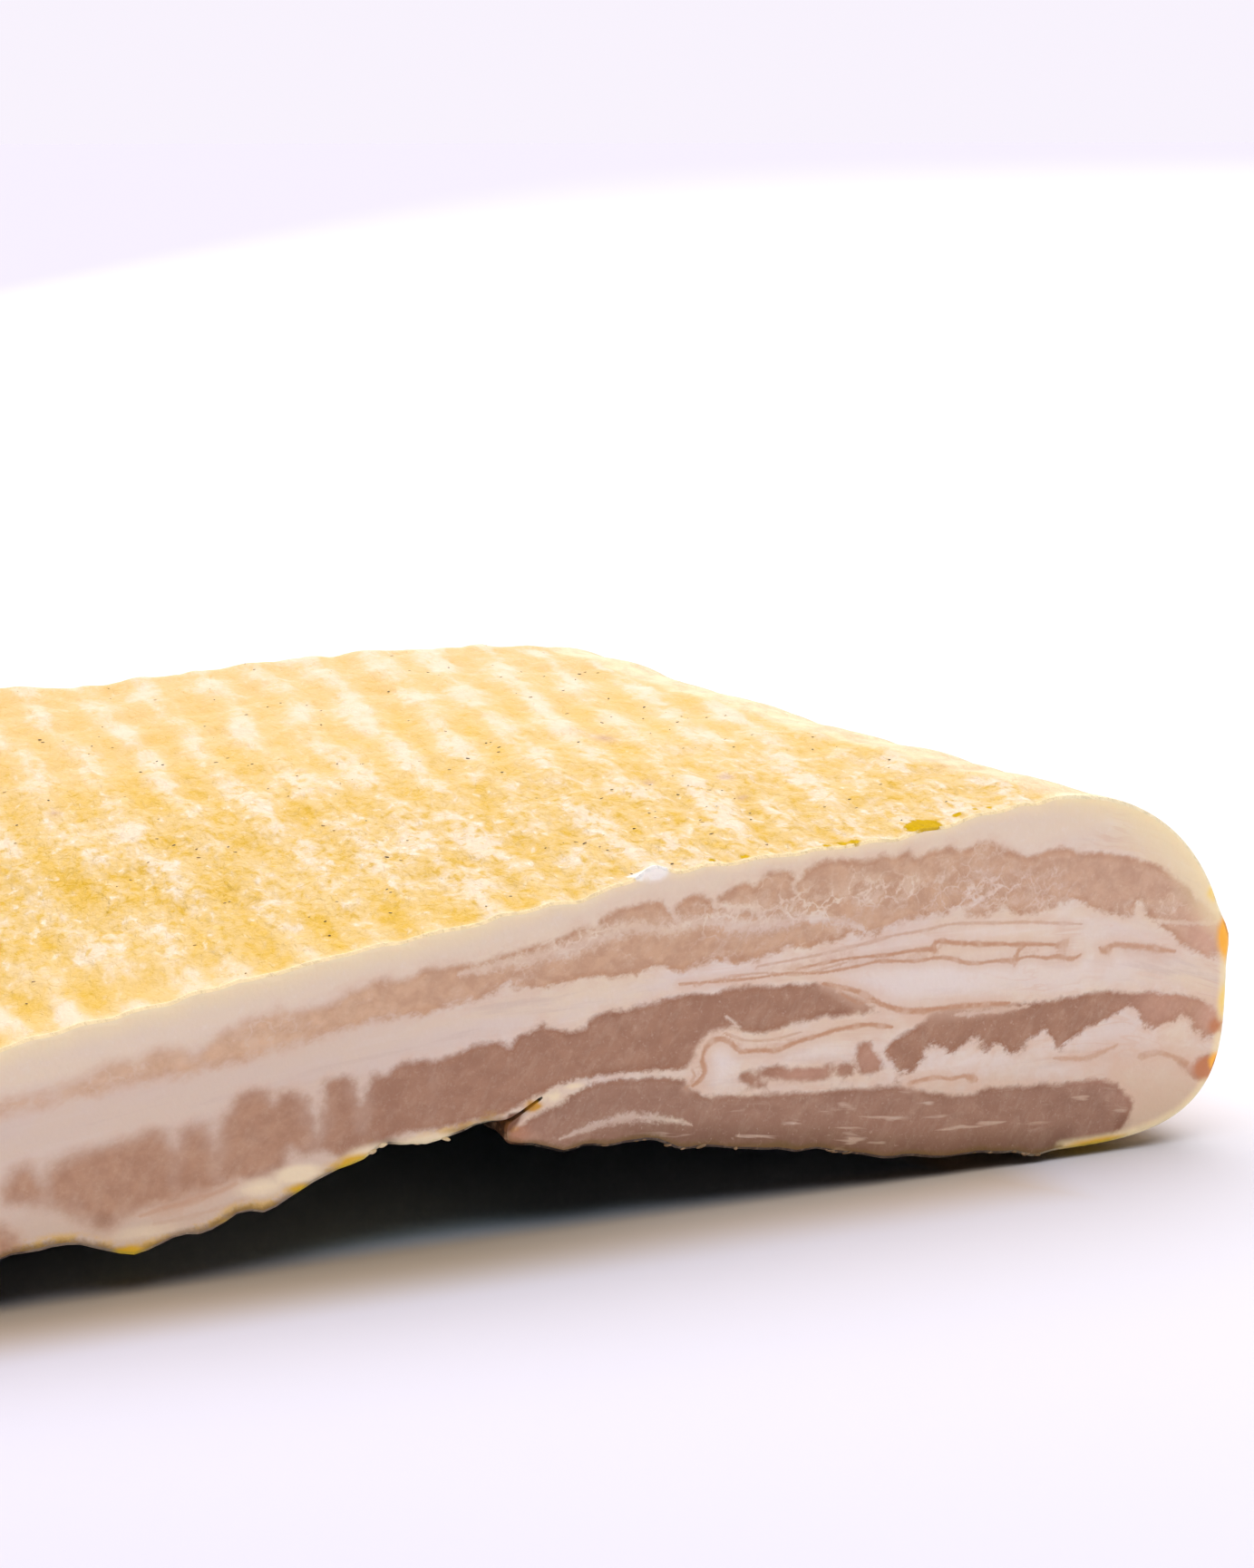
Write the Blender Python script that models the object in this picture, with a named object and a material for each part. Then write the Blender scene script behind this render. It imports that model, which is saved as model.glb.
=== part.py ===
"""Bacon slab: a thick piece of cured pork belly lying rind up, cut straight across at the front and the back.

+X runs along the slab to its thick end, +Y from the front cut to the back cut, +Z up. The origin is under
the middle of the slab, on the surface it lies on. A section is the outline across the slab at one distance
behind the front cut. Its shape changes evenly from the front section to the back section, and the skin of
the slab is the loft through all of them. Sizes are in millimetres times MM, so in metres.
"""
import math

import bmesh
import bpy
from mathutils import Vector, noise
from mathutils.geometry import delaunay_2d_cdt

MM = 0.001

# Driving sizes
LENGTH = 230.0
DEPTH = 130.0
CREST_FRONT = 48.2
CREST_BACK = 44.5

# Places along X, as (front section, back section)
THICK_END = (LENGTH / 2, 88.0)
THICK_SHOULDER = (90.0, 66.0)
THICK_FOOT = (92.0, 63.0)
THIN_END = (-LENGTH / 2, -110.0)
THIN_SHOULDER = (-104.0, -98.0)
THIN_FOOT = (-101.0, -96.0)

# Height of the widest place of each end, and how square each quarter of the ends is
GIRTH_THICK = (20.0, 20.0)
GIRTH_THIN = (12.0, 16.0)
THICK_UPPER_SQUARENESS = 2.1
THICK_LOWER_SQUARENESS = 2.9
THIN_SQUARENESS = 2.2

# Height of the rind's smooth surface over its places along X
RIND_FRONT = ((-104, 23.2), (-72, 26.4), (-39, 30.9), (-19, 34.5), (2, 37.8), (24, 40.5), (35, 42.7),
              (46, 43.7), (70, 45.0), (82, 46.7), (90, CREST_FRONT))
RIND_BACK = ((-98, 33.0), (-72, 38.0), (-45, 41.5), (-22, 43.7), (-8, 43.2), (20, 45.1), (50, 45.5),
             (66, CREST_BACK))

# Height of the underside, which arches off the table and rests on it near both ends
LEAN_FRONT = ((-101, -0.6), (-80, -0.8), (-60, 1.0), (-44, 4.3), (-33, 5.6), (-24, 4.0), (-12, 6.6), (-4, 9.6),
              (3, 12.3), (10, 12.2), (16, 14.0))
LEAN_BACK = ((-96, -0.6), (-74, -0.8), (-50, 3.0), (-30, 6.5), (-10, 8.8), (2, 9.6), (16, 9.4))
FLAP_FRONT = ((20, 10.3), (26, 9.1), (34, 8.8), (46, 6.8), (58, 4.7), (70, 2.3), (80, 1.0), (89, 0.3))
FLAP_BACK = ((20, 8.2), (34, 6.2), (46, 3.2), (54, 0.4), (58, -0.4), (62, -0.8))
# The front cut's lower edge is lifted off the table, over this distance behind it
FRONT_LIFT = 1.2
FRONT_LIFT_REACH = 9.0

# The thin flap of muscle under the slab: where it ends, and the slit between it and the rest
FLAP_TIP_X = 18.2
FLAP_TIP_THICKNESS = 3.0
FLAP_TIP_ROUNDING = 0.5
FLAP_TIP_WANDER = 6.0
FLAP_TIP_WANDER_LENGTH = 34.0
SLIT_DEPTH = (4.4, 2.2)
SLIT_RISE = 2.4
SLIT_WIDTH = 0.8

# Relief of the rind: ridges that fan out from front to back, and finer folds across them
RIDGE_PITCH = 6.8
RIDGE_SHIFT = 3.4
RIDGE_HEIGHT = 0.5
RIDGE_WANDER = 0.3
FAN_MIDDLE = 17.0
FAN_SPREAD = 0.0027
FOLD_LENGTH = 9.0
FOLD_HEIGHT = 0.45
# Relief of the other sides, which starts this far behind the front cut on the ends
END_DENT = 2.4
END_DENT_LENGTH = 24.0
END_DENT_START = 12.0
MEAT_LUMP_LENGTH = 17.0
MEAT_LUMP_HEIGHT = 1.1
MEAT_LUMP_START = 15.0
LUMP_AT_FRONT = 0.3
CUT_WAVE_LENGTH = 26.0
CUT_WAVE_DEPTH = 0.5
# A dried lump on the thick end beside the front cut
END_LUMP_Z = 27.5
END_LUMP_HEIGHT = 0.75
END_LUMP_SPREAD = 2.6
END_LUMP_DEPTH = 7.0
# A scrap of fat that the knife left standing on the front edge
SCRAP_X = 36.5
SCRAP_HEIGHT = 1.0
SCRAP_SPREAD = 2.0

# Fineness of the mesh
SECTIONS = 18
RIND_STEPS = 120
THICK_END_STEPS = 9
THIN_END_STEPS = 5
FLAP_STEPS = 16
LEAN_STEPS = 24
CUT_GRID = 8.0
CUT_GRID_MARGIN = 3.0


def mix(pair, share):
    """Value between a (front, back) pair."""
    return pair[0] + (pair[1] - pair[0]) * share


def smooth_line(knots, x):
    """Height at x of a smooth curve through (x, height) knots, level beyond the first and last."""
    if x <= knots[0][0]:
        return knots[0][1]
    if x >= knots[-1][0]:
        return knots[-1][1]
    index = max(i for i in range(len(knots) - 1) if knots[i][0] <= x)

    def slope(i):
        before, after = knots[max(i - 1, 0)], knots[min(i + 1, len(knots) - 1)]
        return (after[1] - before[1]) / (after[0] - before[0])

    (x0, z0), (x1, z1) = knots[index], knots[index + 1]
    width = x1 - x0
    t = (x - x0) / width
    return ((2 * t ** 3 - 3 * t ** 2 + 1) * z0 + (t ** 3 - 2 * t ** 2 + t) * width * slope(index)
            + (3 * t ** 2 - 2 * t ** 3) * z1 + (t ** 3 - t ** 2) * width * slope(index + 1))


def waviness(x, y, length, seed):
    """Smooth unevenness from -1 to 1 with bumps of about the given length."""
    return noise.noise(Vector((x / length, y / length, seed)))


def rind_relief(x, y):
    """Ridges and folds of the dried rind; each ridge starts at the front cut and fans out behind it."""
    behind_cut = y + DEPTH / 2
    start = FAN_MIDDLE + (x - FAN_MIDDLE) / (1.0 + FAN_SPREAD * behind_cut)
    wander = RIDGE_WANDER * waviness(start, y, 22.0, 3.7)
    ridge = 0.5 + 0.5 * math.cos(2 * math.pi * ((start + RIDGE_SHIFT) / RIDGE_PITCH + wander))
    strength = 0.65 + 0.7 * waviness(start, y, 16.0, 8.1)
    fold = waviness(x * 0.6, y, FOLD_LENGTH, 5.3)
    scrap = SCRAP_HEIGHT * math.exp(-((x - SCRAP_X) ** 2 + behind_cut ** 2) / SCRAP_SPREAD ** 2)
    return RIDGE_HEIGHT * ridge * strength + FOLD_HEIGHT * fold + scrap


def behind_front(y, distance):
    """Share from 0 at the front cut to 1 at the given distance behind it and beyond."""
    return min(1.0, (y + DEPTH / 2) / distance)


def underside(knots_front, knots_back, x, y, share):
    """Height of the underside, with the lumps of the meat, pressed flat where it meets the table."""
    smooth = mix((smooth_line(knots_front, x), smooth_line(knots_back, x)), share)
    lump = MEAT_LUMP_HEIGHT * waviness(x, y, MEAT_LUMP_LENGTH, 1.9)
    lump *= LUMP_AT_FRONT + (1.0 - LUMP_AT_FRONT) * behind_front(y, MEAT_LUMP_START)
    lift = FRONT_LIFT * math.exp(-((y + DEPTH / 2) / FRONT_LIFT_REACH) ** 2)
    return max(0.0, smooth + lump + lift)


def end_quarter(centre, reach, squareness, start, stop, steps, y):
    """Points of a quarter of a rounded end, from the angle start up to, but without, the angle stop.

    The quarter is that of a superellipse: reach is how far it goes along X and Z from its centre. Behind the
    front cut it has shallow dents, deepest at its widest place.
    """
    points = []
    for i in range(steps):
        angle = math.radians(start + (stop - start) * i / steps)
        c, s = math.cos(angle), math.sin(angle)
        along = math.copysign(abs(c) ** (2 / squareness), c)
        up = math.copysign(abs(s) ** (2 / squareness), s)
        dent = END_DENT * (0.5 + 0.5 * waviness(y, 22.0 * s, END_DENT_LENGTH, 6.0 + c))
        dent *= behind_front(y, END_DENT_START) * c * c
        x, z = centre[0] + reach[0] * along, centre[1] + reach[1] * up
        if c > 0:
            dent -= END_LUMP_HEIGHT * math.exp(-((z - END_LUMP_Z) / END_LUMP_SPREAD) ** 2
                                               - ((y + DEPTH / 2) / END_LUMP_DEPTH) ** 2)
        points.append((x - dent * c, z - dent * s))
    return points


def flap_tip(y):
    """Place along X of the flap's tip, which wanders behind the front cut."""
    wander = waviness(0.0, y, FLAP_TIP_WANDER_LENGTH, 4.4)
    return FLAP_TIP_X + FLAP_TIP_WANDER * wander * behind_front(y, FLAP_TIP_WANDER_LENGTH)


def flap_nose(share, y):
    """The flap's blunt tip and the slit above it, from the flap's underside to the lean's underside."""
    tip = flap_tip(y)
    under = underside(FLAP_FRONT, FLAP_BACK, tip + 2.0, y, share)
    top = under + FLAP_TIP_THICKNESS
    depth = mix(SLIT_DEPTH, share)
    rise = SLIT_RISE * depth / SLIT_DEPTH[0]
    return [(tip + 0.4, under + FLAP_TIP_ROUNDING),
            (tip, 0.5 * (under + top)),
            (tip + 0.9, top - 0.2),
            (tip + depth, top + rise - 0.5 * SLIT_WIDTH),
            (tip + depth - 0.6, top + rise + 0.5 * SLIT_WIDTH),
            (tip - 0.4, top + 0.9 * SLIT_WIDTH)]


def section(share):
    """Outline of the slab at a share of the way from the front cut to the back cut, as (x, z) points."""
    y = (share - 0.5) * DEPTH
    thick_shoulder, thin_shoulder = mix(THICK_SHOULDER, share), mix(THIN_SHOULDER, share)
    thick_foot, thin_foot = mix(THICK_FOOT, share), mix(THIN_FOOT, share)
    thick_end, thin_end = mix(THICK_END, share), mix(THIN_END, share)
    thick_girth, thin_girth = mix(GIRTH_THICK, share), mix(GIRTH_THIN, share)

    def rind(x):
        return mix((smooth_line(RIND_FRONT, x), smooth_line(RIND_BACK, x)), share) + rind_relief(x, y)

    outline = []
    for i in range(RIND_STEPS):
        x = thin_shoulder + (thick_shoulder - thin_shoulder) * i / RIND_STEPS
        outline.append((x, rind(x)))
    outline += end_quarter((thick_shoulder, thick_girth), (thick_end - thick_shoulder,
                           rind(thick_shoulder) - thick_girth), THICK_UPPER_SQUARENESS, 90, 0, THICK_END_STEPS, y)
    foot_z = underside(FLAP_FRONT, FLAP_BACK, thick_foot, y, share)
    outline += end_quarter((thick_foot, thick_girth), (thick_end - thick_foot, thick_girth - foot_z),
                           THICK_LOWER_SQUARENESS, 0, -90, THICK_END_STEPS, y)
    for i in range(FLAP_STEPS):
        x = thick_foot + (flap_tip(y) + 2.0 - thick_foot) * i / (FLAP_STEPS - 1)
        outline.append((x, underside(FLAP_FRONT, FLAP_BACK, x, y, share)))
    nose = flap_nose(share, y)
    outline += nose
    start_x, start_z = nose[-1]
    for i in range(1, LEAN_STEPS):
        x = start_x + (thin_foot - start_x) * i / LEAN_STEPS
        z = underside(LEAN_FRONT, LEAN_BACK, x, y, share)
        settle = math.exp(-(start_x - x) / 4.0)
        outline.append((x, z + (start_z - z) * settle))
    foot_z = underside(LEAN_FRONT, LEAN_BACK, thin_foot, y, share)
    outline += end_quarter((thin_foot, thin_girth), (thin_foot - thin_end, thin_girth - foot_z),
                           THIN_SQUARENESS, -90, -180, THIN_END_STEPS, y)
    outline += end_quarter((thin_shoulder, thin_girth), (thin_shoulder - thin_end,
                           rind(thin_shoulder) - thin_girth), THIN_SQUARENESS, 180, 90, THIN_END_STEPS, y)
    return outline


def inside(outline, x, z, margin):
    """True where a point lies within the outline and at least the margin away from it."""
    within = False
    for (x0, z0), (x1, z1) in zip(outline, outline[1:] + outline[:1]):
        if (z0 > z) != (z1 > z) and x < x0 + (x1 - x0) * (z - z0) / (z1 - z0):
            within = not within
        if math.hypot(x - x0, z - z0) < margin:
            return False
    return within


def close_with_cut(mesh, ring, outline, y, inwards):
    """Close one end of the loft with a knife cut: triangles over a loose grid, hollowed by fractions of a mm."""
    grid = []
    rows = int(CREST_FRONT / CUT_GRID) + 1
    columns = int(LENGTH / CUT_GRID) + 1
    for column in range(columns):
        for row in range(rows):
            x = -LENGTH / 2 + CUT_GRID * (column + 0.5 * (row % 2))
            z = CUT_GRID * (row + 0.5)
            if inside(outline, x, z, CUT_GRID_MARGIN):
                grid.append((x, z))
    flat = [Vector(point) for point in outline + grid]
    rim = list(range(len(outline)))
    places, _, faces, origins, _, _ = delaunay_2d_cdt(flat, [], [rim], 1, 1e-6)
    corners = []
    for place, sources in zip(places, origins):
        if sources and sources[0] < len(rim):
            corners.append(ring[sources[0]])
            continue
        hollow = CUT_WAVE_DEPTH * (0.5 + 0.5 * waviness(place.x, place.y, CUT_WAVE_LENGTH, y))
        corners.append(mesh.verts.new(Vector((place.x, y + inwards * hollow, place.y)) * MM))
    for face in faces:
        mesh.faces.new([corners[i] for i in face])


def slab_mesh():
    """Loft through the sections, closed by the two cuts."""
    mesh = bmesh.new()
    rings, outlines = [], []
    for k in range(SECTIONS + 1):
        share = k / SECTIONS
        y = (share - 0.5) * DEPTH
        outline = section(share)
        outlines.append(outline)
        rings.append([mesh.verts.new(Vector((x, y, z)) * MM) for x, z in outline])
    for near, far in zip(rings, rings[1:]):
        for i in range(len(near)):
            j = (i + 1) % len(near)
            mesh.faces.new((near[i], near[j], far[j], far[i]))
    close_with_cut(mesh, rings[0], outlines[0], -DEPTH / 2, 1)
    close_with_cut(mesh, rings[-1], outlines[-1], DEPTH / 2, -1)
    bmesh.ops.triangulate(mesh, faces=mesh.faces)
    bmesh.ops.recalc_face_normals(mesh, faces=mesh.faces)
    return mesh


def cured_pork():
    """Material of the whole slab: the warm cream of its fat with the pink of its lean."""
    material = bpy.data.materials.new("cured_pork")
    material.use_nodes = True
    shader = material.node_tree.nodes["Principled BSDF"]
    shader.inputs["Base Color"].default_value = (0.78, 0.52, 0.36, 1.0)
    shader.inputs["Roughness"].default_value = 0.45
    shader.inputs["Metallic"].default_value = 0.0
    return material


def main():
    """Clear the scene and make the slab in its own collection."""
    for old in list(bpy.data.objects):
        bpy.data.objects.remove(old, do_unlink=True)
    parts = bpy.data.collections.new("bacon_slab")
    bpy.context.scene.collection.children.link(parts)
    skin = bpy.data.meshes.new("bacon_slab")
    shape = slab_mesh()
    shape.to_mesh(skin)
    shape.free()
    skin.shade_smooth()
    skin.set_sharp_from_angle(angle=math.radians(50))
    slab = bpy.data.objects.new("bacon_slab", skin)
    slab.data.materials.append(cured_pork())
    parts.objects.link(slab)


main()
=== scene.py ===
"""Bacon slab, dressed: the layered cuts, the dried golden rind and the smoked sides of one piece of pork belly.

The slab keeps the CAD solid's form and is made again as one dense mesh, in the same frame: +X along the slab
to its thick end, +Y from the front cut to the back cut, +Z up, origin on the table under its middle. Sizes
in the classes are in millimetres, and meshes are in metres.
"""

import logging
import math
from dataclasses import dataclass, field
from enum import Enum
from typing import Any, Callable, Sequence

import bmesh
import bpy
import numpy as np
from mathutils import Matrix, Vector, noise
from mathutils.geometry import delaunay_2d_cdt


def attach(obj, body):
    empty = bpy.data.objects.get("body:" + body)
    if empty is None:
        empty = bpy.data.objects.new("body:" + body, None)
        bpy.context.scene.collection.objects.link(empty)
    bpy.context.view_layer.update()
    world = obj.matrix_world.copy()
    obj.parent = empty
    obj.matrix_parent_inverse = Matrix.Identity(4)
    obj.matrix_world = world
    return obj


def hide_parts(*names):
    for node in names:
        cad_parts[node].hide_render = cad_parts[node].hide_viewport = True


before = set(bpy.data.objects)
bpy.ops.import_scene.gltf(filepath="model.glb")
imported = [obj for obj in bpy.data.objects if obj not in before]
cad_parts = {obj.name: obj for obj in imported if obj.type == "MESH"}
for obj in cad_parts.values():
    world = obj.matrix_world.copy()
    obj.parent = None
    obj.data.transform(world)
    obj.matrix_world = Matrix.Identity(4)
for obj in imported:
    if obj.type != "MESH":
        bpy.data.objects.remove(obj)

MM = 0.001
NODE = "bacon_slab"
log = logging.getLogger("bacon_slab")

Pair = tuple[float, float]
Triple = tuple[float, float, float]
Colour = Triple
Array = np.ndarray
EVEN: Triple = (1.0, 1.0, 1.0)
UNMOVED: Triple = (0.0, 0.0, 0.0)


class Zone(Enum):
    """Which side of the slab a point of the outline belongs to."""

    RIND = 0
    THICK_END = 1
    UNDERSIDE = 2
    THIN_END = 3
    SLIT = 4


def mix(pair: Pair, share: float) -> float:
    """Value between a (front, back) pair."""
    return pair[0] + (pair[1] - pair[0]) * share


def placed(name: str, data: bpy.types.ID) -> bpy.types.Object:
    """A new object in the scene."""
    item = bpy.data.objects.new(name, data)
    bpy.context.scene.collection.objects.link(item)
    return item


def waviness(x: float, y: float, length: float, seed: float) -> float:
    """Smooth unevenness from -1 to 1 with bumps of about the given length."""
    return noise.noise(Vector((x / length, y / length, seed)))


def smooth_line(knots: Sequence[Pair], x: float) -> float:
    """Height at x of a smooth curve through knots.

    Args:
        knots: (x, height) pairs, rising in x.
        x: Place along the slab.

    Returns:
        The height, level beyond the first and the last knot.
    """
    if x <= knots[0][0]:
        return knots[0][1]
    if x >= knots[-1][0]:
        return knots[-1][1]
    index = max(i for i in range(len(knots) - 1) if knots[i][0] <= x)

    def slope(i: int) -> float:
        """Slope of the curve at a knot."""
        before, after = knots[max(i - 1, 0)], knots[min(i + 1, len(knots) - 1)]
        return (after[1] - before[1]) / (after[0] - before[0])

    (x0, z0), (x1, z1) = knots[index], knots[index + 1]
    width = x1 - x0
    t = (x - x0) / width
    return ((2 * t ** 3 - 3 * t ** 2 + 1) * z0 + (t ** 3 - 2 * t ** 2 + t) * width * slope(index)
            + (3 * t ** 2 - 2 * t ** 3) * z1 + (t ** 3 - t ** 2) * width * slope(index + 1))


def smooth_path(points: Array, steps: int, closed: bool = False) -> Array:
    """Denser points along a Catmull-Rom curve through a path's points.

    Args:
        points: Rows of numbers, the first two of them a place; the others change along with it.
        steps: Points made for each stretch between two of the given ones.
        closed: Whether the last point leads back to the first.

    Returns:
        The denser rows.
    """
    count = len(points)
    spans = count if closed else count - 1
    if closed:
        around = points[np.arange(-1, count + 2) % count]
    else:
        around = np.vstack([points[:1], points, points[-1:]])
    rows = []
    for i in range(spans):
        p0, p1, p2, p3 = around[i:i + 4]
        for t in np.arange(steps) / steps:
            rows.append(0.5 * (2 * p1 + (p2 - p0) * t + (2 * p0 - 5 * p1 + 4 * p2 - p3) * t ** 2
                               + (3 * p1 - p0 - 3 * p2 + p3) * t ** 3))
    if not closed:
        rows.append(points[-1])
    return np.array(rows)


def segment_gap(places: Array, starts: Array, stops: Array) -> tuple[Array, Array, Array]:
    """Distance from places to the nearest of some straight stretches.

    Args:
        places: (n, 2) places.
        starts: (m, 2) first ends.
        stops: (m, 2) second ends.

    Returns:
        For each place the distance, the index of the nearest stretch and the share of the way along it.
    """
    best = np.full(len(places), np.inf)
    index = np.zeros(len(places), int)
    share = np.zeros(len(places))
    for i, (a, b) in enumerate(zip(starts, stops)):
        along = b - a
        t = np.clip((places - a) @ along / max(along @ along, 1e-12), 0.0, 1.0)
        gap = np.hypot(*(places - a - t[:, None] * along).T)
        nearer = gap < best
        best[nearer], index[nearer], share[nearer] = gap[nearer], i, t[nearer]
    return best, index, share


def within(places: Array, loop: Array) -> Array:
    """True for each place that lies inside a closed loop of points.

    Args:
        places: (n, 2) places.
        loop: (m, 2) points of the loop.

    Returns:
        Whether each place is inside.
    """
    inside = np.zeros(len(places), bool)
    x, z = places.T
    for (x0, z0), (x1, z1) in zip(loop, np.roll(loop, -1, axis=0)):
        if z0 != z1:
            crosses = (z0 > z) != (z1 > z)
            inside ^= crosses & (x < x0 + (x1 - x0) * (z - z0) / (z1 - z0))
    return inside


@dataclass(frozen=True)
class SlabForm:
    """The slab's form: its outline across, which changes evenly from the front cut to the back cut."""

    length: float = 230.0
    depth: float = 130.0
    thick_end: Pair = (115.4, 88.4)
    thick_shoulder: Pair = (90.0, 66.0)
    thick_foot: Pair = (92.0, 63.0)
    thin_end: Pair = (-115.0, -110.0)
    thin_shoulder: Pair = (-104.0, -98.0)
    thin_foot: Pair = (-101.0, -96.0)
    girth_thick: Pair = (20.0, 20.0)
    girth_thin: Pair = (12.0, 16.0)
    thick_upper_squareness: float = 2.15
    thick_lower_squareness: float = 3.15
    thin_squareness: float = 2.2
    rind_front: tuple[Pair, ...] = ((-104, 23.2), (-72, 26.4), (-39, 30.9), (-19, 34.5), (2, 37.8), (24, 40.5),
                                    (35, 42.7), (46, 43.7), (70, 45.0), (82, 46.7), (90, 48.2))
    rind_back: tuple[Pair, ...] = ((-98, 33.0), (-72, 38.0), (-45, 41.5), (-22, 43.7), (-8, 43.2), (20, 45.1),
                                   (50, 45.5), (66, 44.5))
    lean_front: tuple[Pair, ...] = ((-101, -0.6), (-80, -0.6), (-60, 1.0), (-44, 4.3), (-33, 5.6), (-24, 4.0),
                                    (-12, 6.6), (-4, 9.6), (3, 12.3), (10, 12.2), (16, 14.0))
    lean_back: tuple[Pair, ...] = ((-96, -0.6), (-74, -0.6), (-50, 3.0), (-30, 6.5), (-10, 8.8), (2, 9.6),
                                   (16, 9.4))
    flap_front: tuple[Pair, ...] = ((20, 10.3), (26, 9.1), (34, 8.8), (46, 6.8), (58, 4.7), (70, 2.3),
                                    (80, 1.0), (89, 0.3))
    flap_back: tuple[Pair, ...] = ((20, 8.2), (34, 6.2), (46, 3.2), (54, 0.4), (58, -0.4), (62, -0.8))
    front_lift: float = 1.2
    front_lift_reach: float = 9.0
    flap_tip_x: float = 18.2
    flap_tip_thickness: float = 3.0
    flap_tip_wander: float = 6.0
    flap_tip_wander_length: float = 34.0
    flap_tip_rounding: float = 0.5
    tip_points: int = 3
    slit_depth: Pair = (4.4, 2.2)
    slit_rise: float = 2.4
    slit_width: float = 0.24
    ridge_pitch: float = 6.8
    ridge_shift: float = 3.4
    ridge_height: float = 0.5
    ridge_wander: float = 0.3
    fan_middle: float = 17.0
    fan_spread: float = 0.0027
    fold_length: float = 9.0
    fold_height: float = 0.45
    end_dent: float = 2.4
    end_dent_length: float = 24.0
    end_dent_start: float = 12.0
    end_lump_z: float = 27.5
    end_lump_height: float = 0.75
    end_lump_spread: float = 2.6
    end_lump_depth: float = 7.0
    lump_length: float = 17.0
    lump_height: float = 1.1
    scrap_x: float = 36.5
    scrap_height: float = 1.0
    scrap_spread: float = 2.0
    crinkle_length: float = 2.6
    crinkle_height: float = 0.34
    rough_length: float = 3.4
    rough_height: float = 1.0

    def behind_front(self, y: float, distance: float) -> float:
        """Share from 0 at the front cut to 1 at the given distance behind it and beyond."""
        return min(1.0, (y + self.depth / 2) / distance)

    def fanned(self, x: Any, y: Any) -> Any:
        """Where the ridge through a place of the rind starts at the front cut, for numbers or arrays."""
        return self.fan_middle + (x - self.fan_middle) / (1.0 + self.fan_spread * (y + self.depth / 2))

    def ridge(self, x: float, y: float) -> float:
        """Share from 0 in a groove of the rind to 1 on a ridge."""
        start = self.fanned(x, y)
        wander = self.ridge_wander * waviness(start, y, 22.0, 3.7)
        return 0.5 + 0.5 * math.cos(2 * math.pi * ((start + self.ridge_shift) / self.ridge_pitch + wander))

    def rind_relief(self, x: float, y: float) -> float:
        """Ridges, folds and fine crinkles of the dried rind.

        Args:
            x: Place along the slab.
            y: Place across it.

        Returns:
            The height that they add to the smooth rind.
        """
        strength = 0.65 + 0.7 * waviness(self.fanned(x, y), y, 16.0, 8.1)
        fold = waviness(x * 0.6, y, self.fold_length, 5.3)
        behind_cut = y + self.depth / 2
        scrap = self.scrap_height * math.exp(-((x - self.scrap_x) ** 2 + behind_cut ** 2)
                                             / self.scrap_spread ** 2)
        crinkle = waviness(x, y * 0.7, self.crinkle_length, 11.6)
        return (self.ridge_height * self.ridge(x, y) * strength + self.fold_height * fold + scrap
                + self.crinkle_height * (crinkle - abs(crinkle) * 0.6))

    def rind_height(self, x: float, y: float, share: float) -> float:
        """Height of the rind at a place of the slab's top."""
        smooth = mix((smooth_line(self.rind_front, x), smooth_line(self.rind_back, x)), share)
        return smooth + self.rind_relief(x, y)

    def underside(self, front: Sequence[Pair], back: Sequence[Pair], x: float, y: float, share: float) -> float:
        """Height of the underside, with the lumps of the meat, pressed flat where it meets the table.

        Args:
            front: Knots of its height at the front cut.
            back: Knots of its height at the back cut.
            x: Place along the slab.
            y: Place across it.
            share: Share of the way from the front cut to the back cut.

        Returns:
            The height over the table.
        """
        smooth = mix((smooth_line(front, x), smooth_line(back, x)), share)
        lump = self.lump_height * waviness(x, y, self.lump_length, 1.9)
        lump *= 0.3 + 0.7 * self.behind_front(y, 15.0)
        lift = self.front_lift * math.exp(-((y + self.depth / 2) / self.front_lift_reach) ** 2)
        rough = self.rough_height * waviness(x, y * 0.6, self.rough_length, 7.4)
        return max(0.0, smooth + lump + lift + rough)

    def end_quarter(self, centre: Pair, reach: Pair, squareness: float, start: float, stop: float, steps: int,
                    y: float) -> list[Pair]:
        """Points of a quarter of a rounded end, a superellipse with shallow dents behind the front cut.

        Args:
            centre: Centre of the superellipse.
            reach: How far it goes along X and Z.
            squareness: Its exponent.
            start: First angle in degrees.
            stop: Angle that the points lead up to, without reaching it.
            steps: Number of points.
            y: Place across the slab.

        Returns:
            The points as (x, z).
        """
        points = []
        for i in range(steps):
            angle = math.radians(start + (stop - start) * i / steps)
            c, s = math.cos(angle), math.sin(angle)
            along = math.copysign(abs(c) ** (2 / squareness), c)
            up = math.copysign(abs(s) ** (2 / squareness), s)
            dent = self.end_dent * (0.5 + 0.5 * waviness(y, 22.0 * s, self.end_dent_length, 6.0 + c))
            dent *= self.behind_front(y, self.end_dent_start) * c * c
            x, z = centre[0] + reach[0] * along, centre[1] + reach[1] * up
            if c > 0:
                away = ((z - self.end_lump_z) / self.end_lump_spread) ** 2
                away += ((y + self.depth / 2) / self.end_lump_depth) ** 2
                dent -= self.end_lump_height * math.exp(-away)
            points.append((x - dent * c, z - dent * s))
        return points

    def flap_tip(self, y: float) -> float:
        """Place along X of the flap's tip, which wanders behind the front cut."""
        reach = self.flap_tip_wander_length
        wander = self.flap_tip_wander * waviness(0.0, y, reach, 4.4)
        return self.flap_tip_x + wander * self.behind_front(y, reach)

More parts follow.
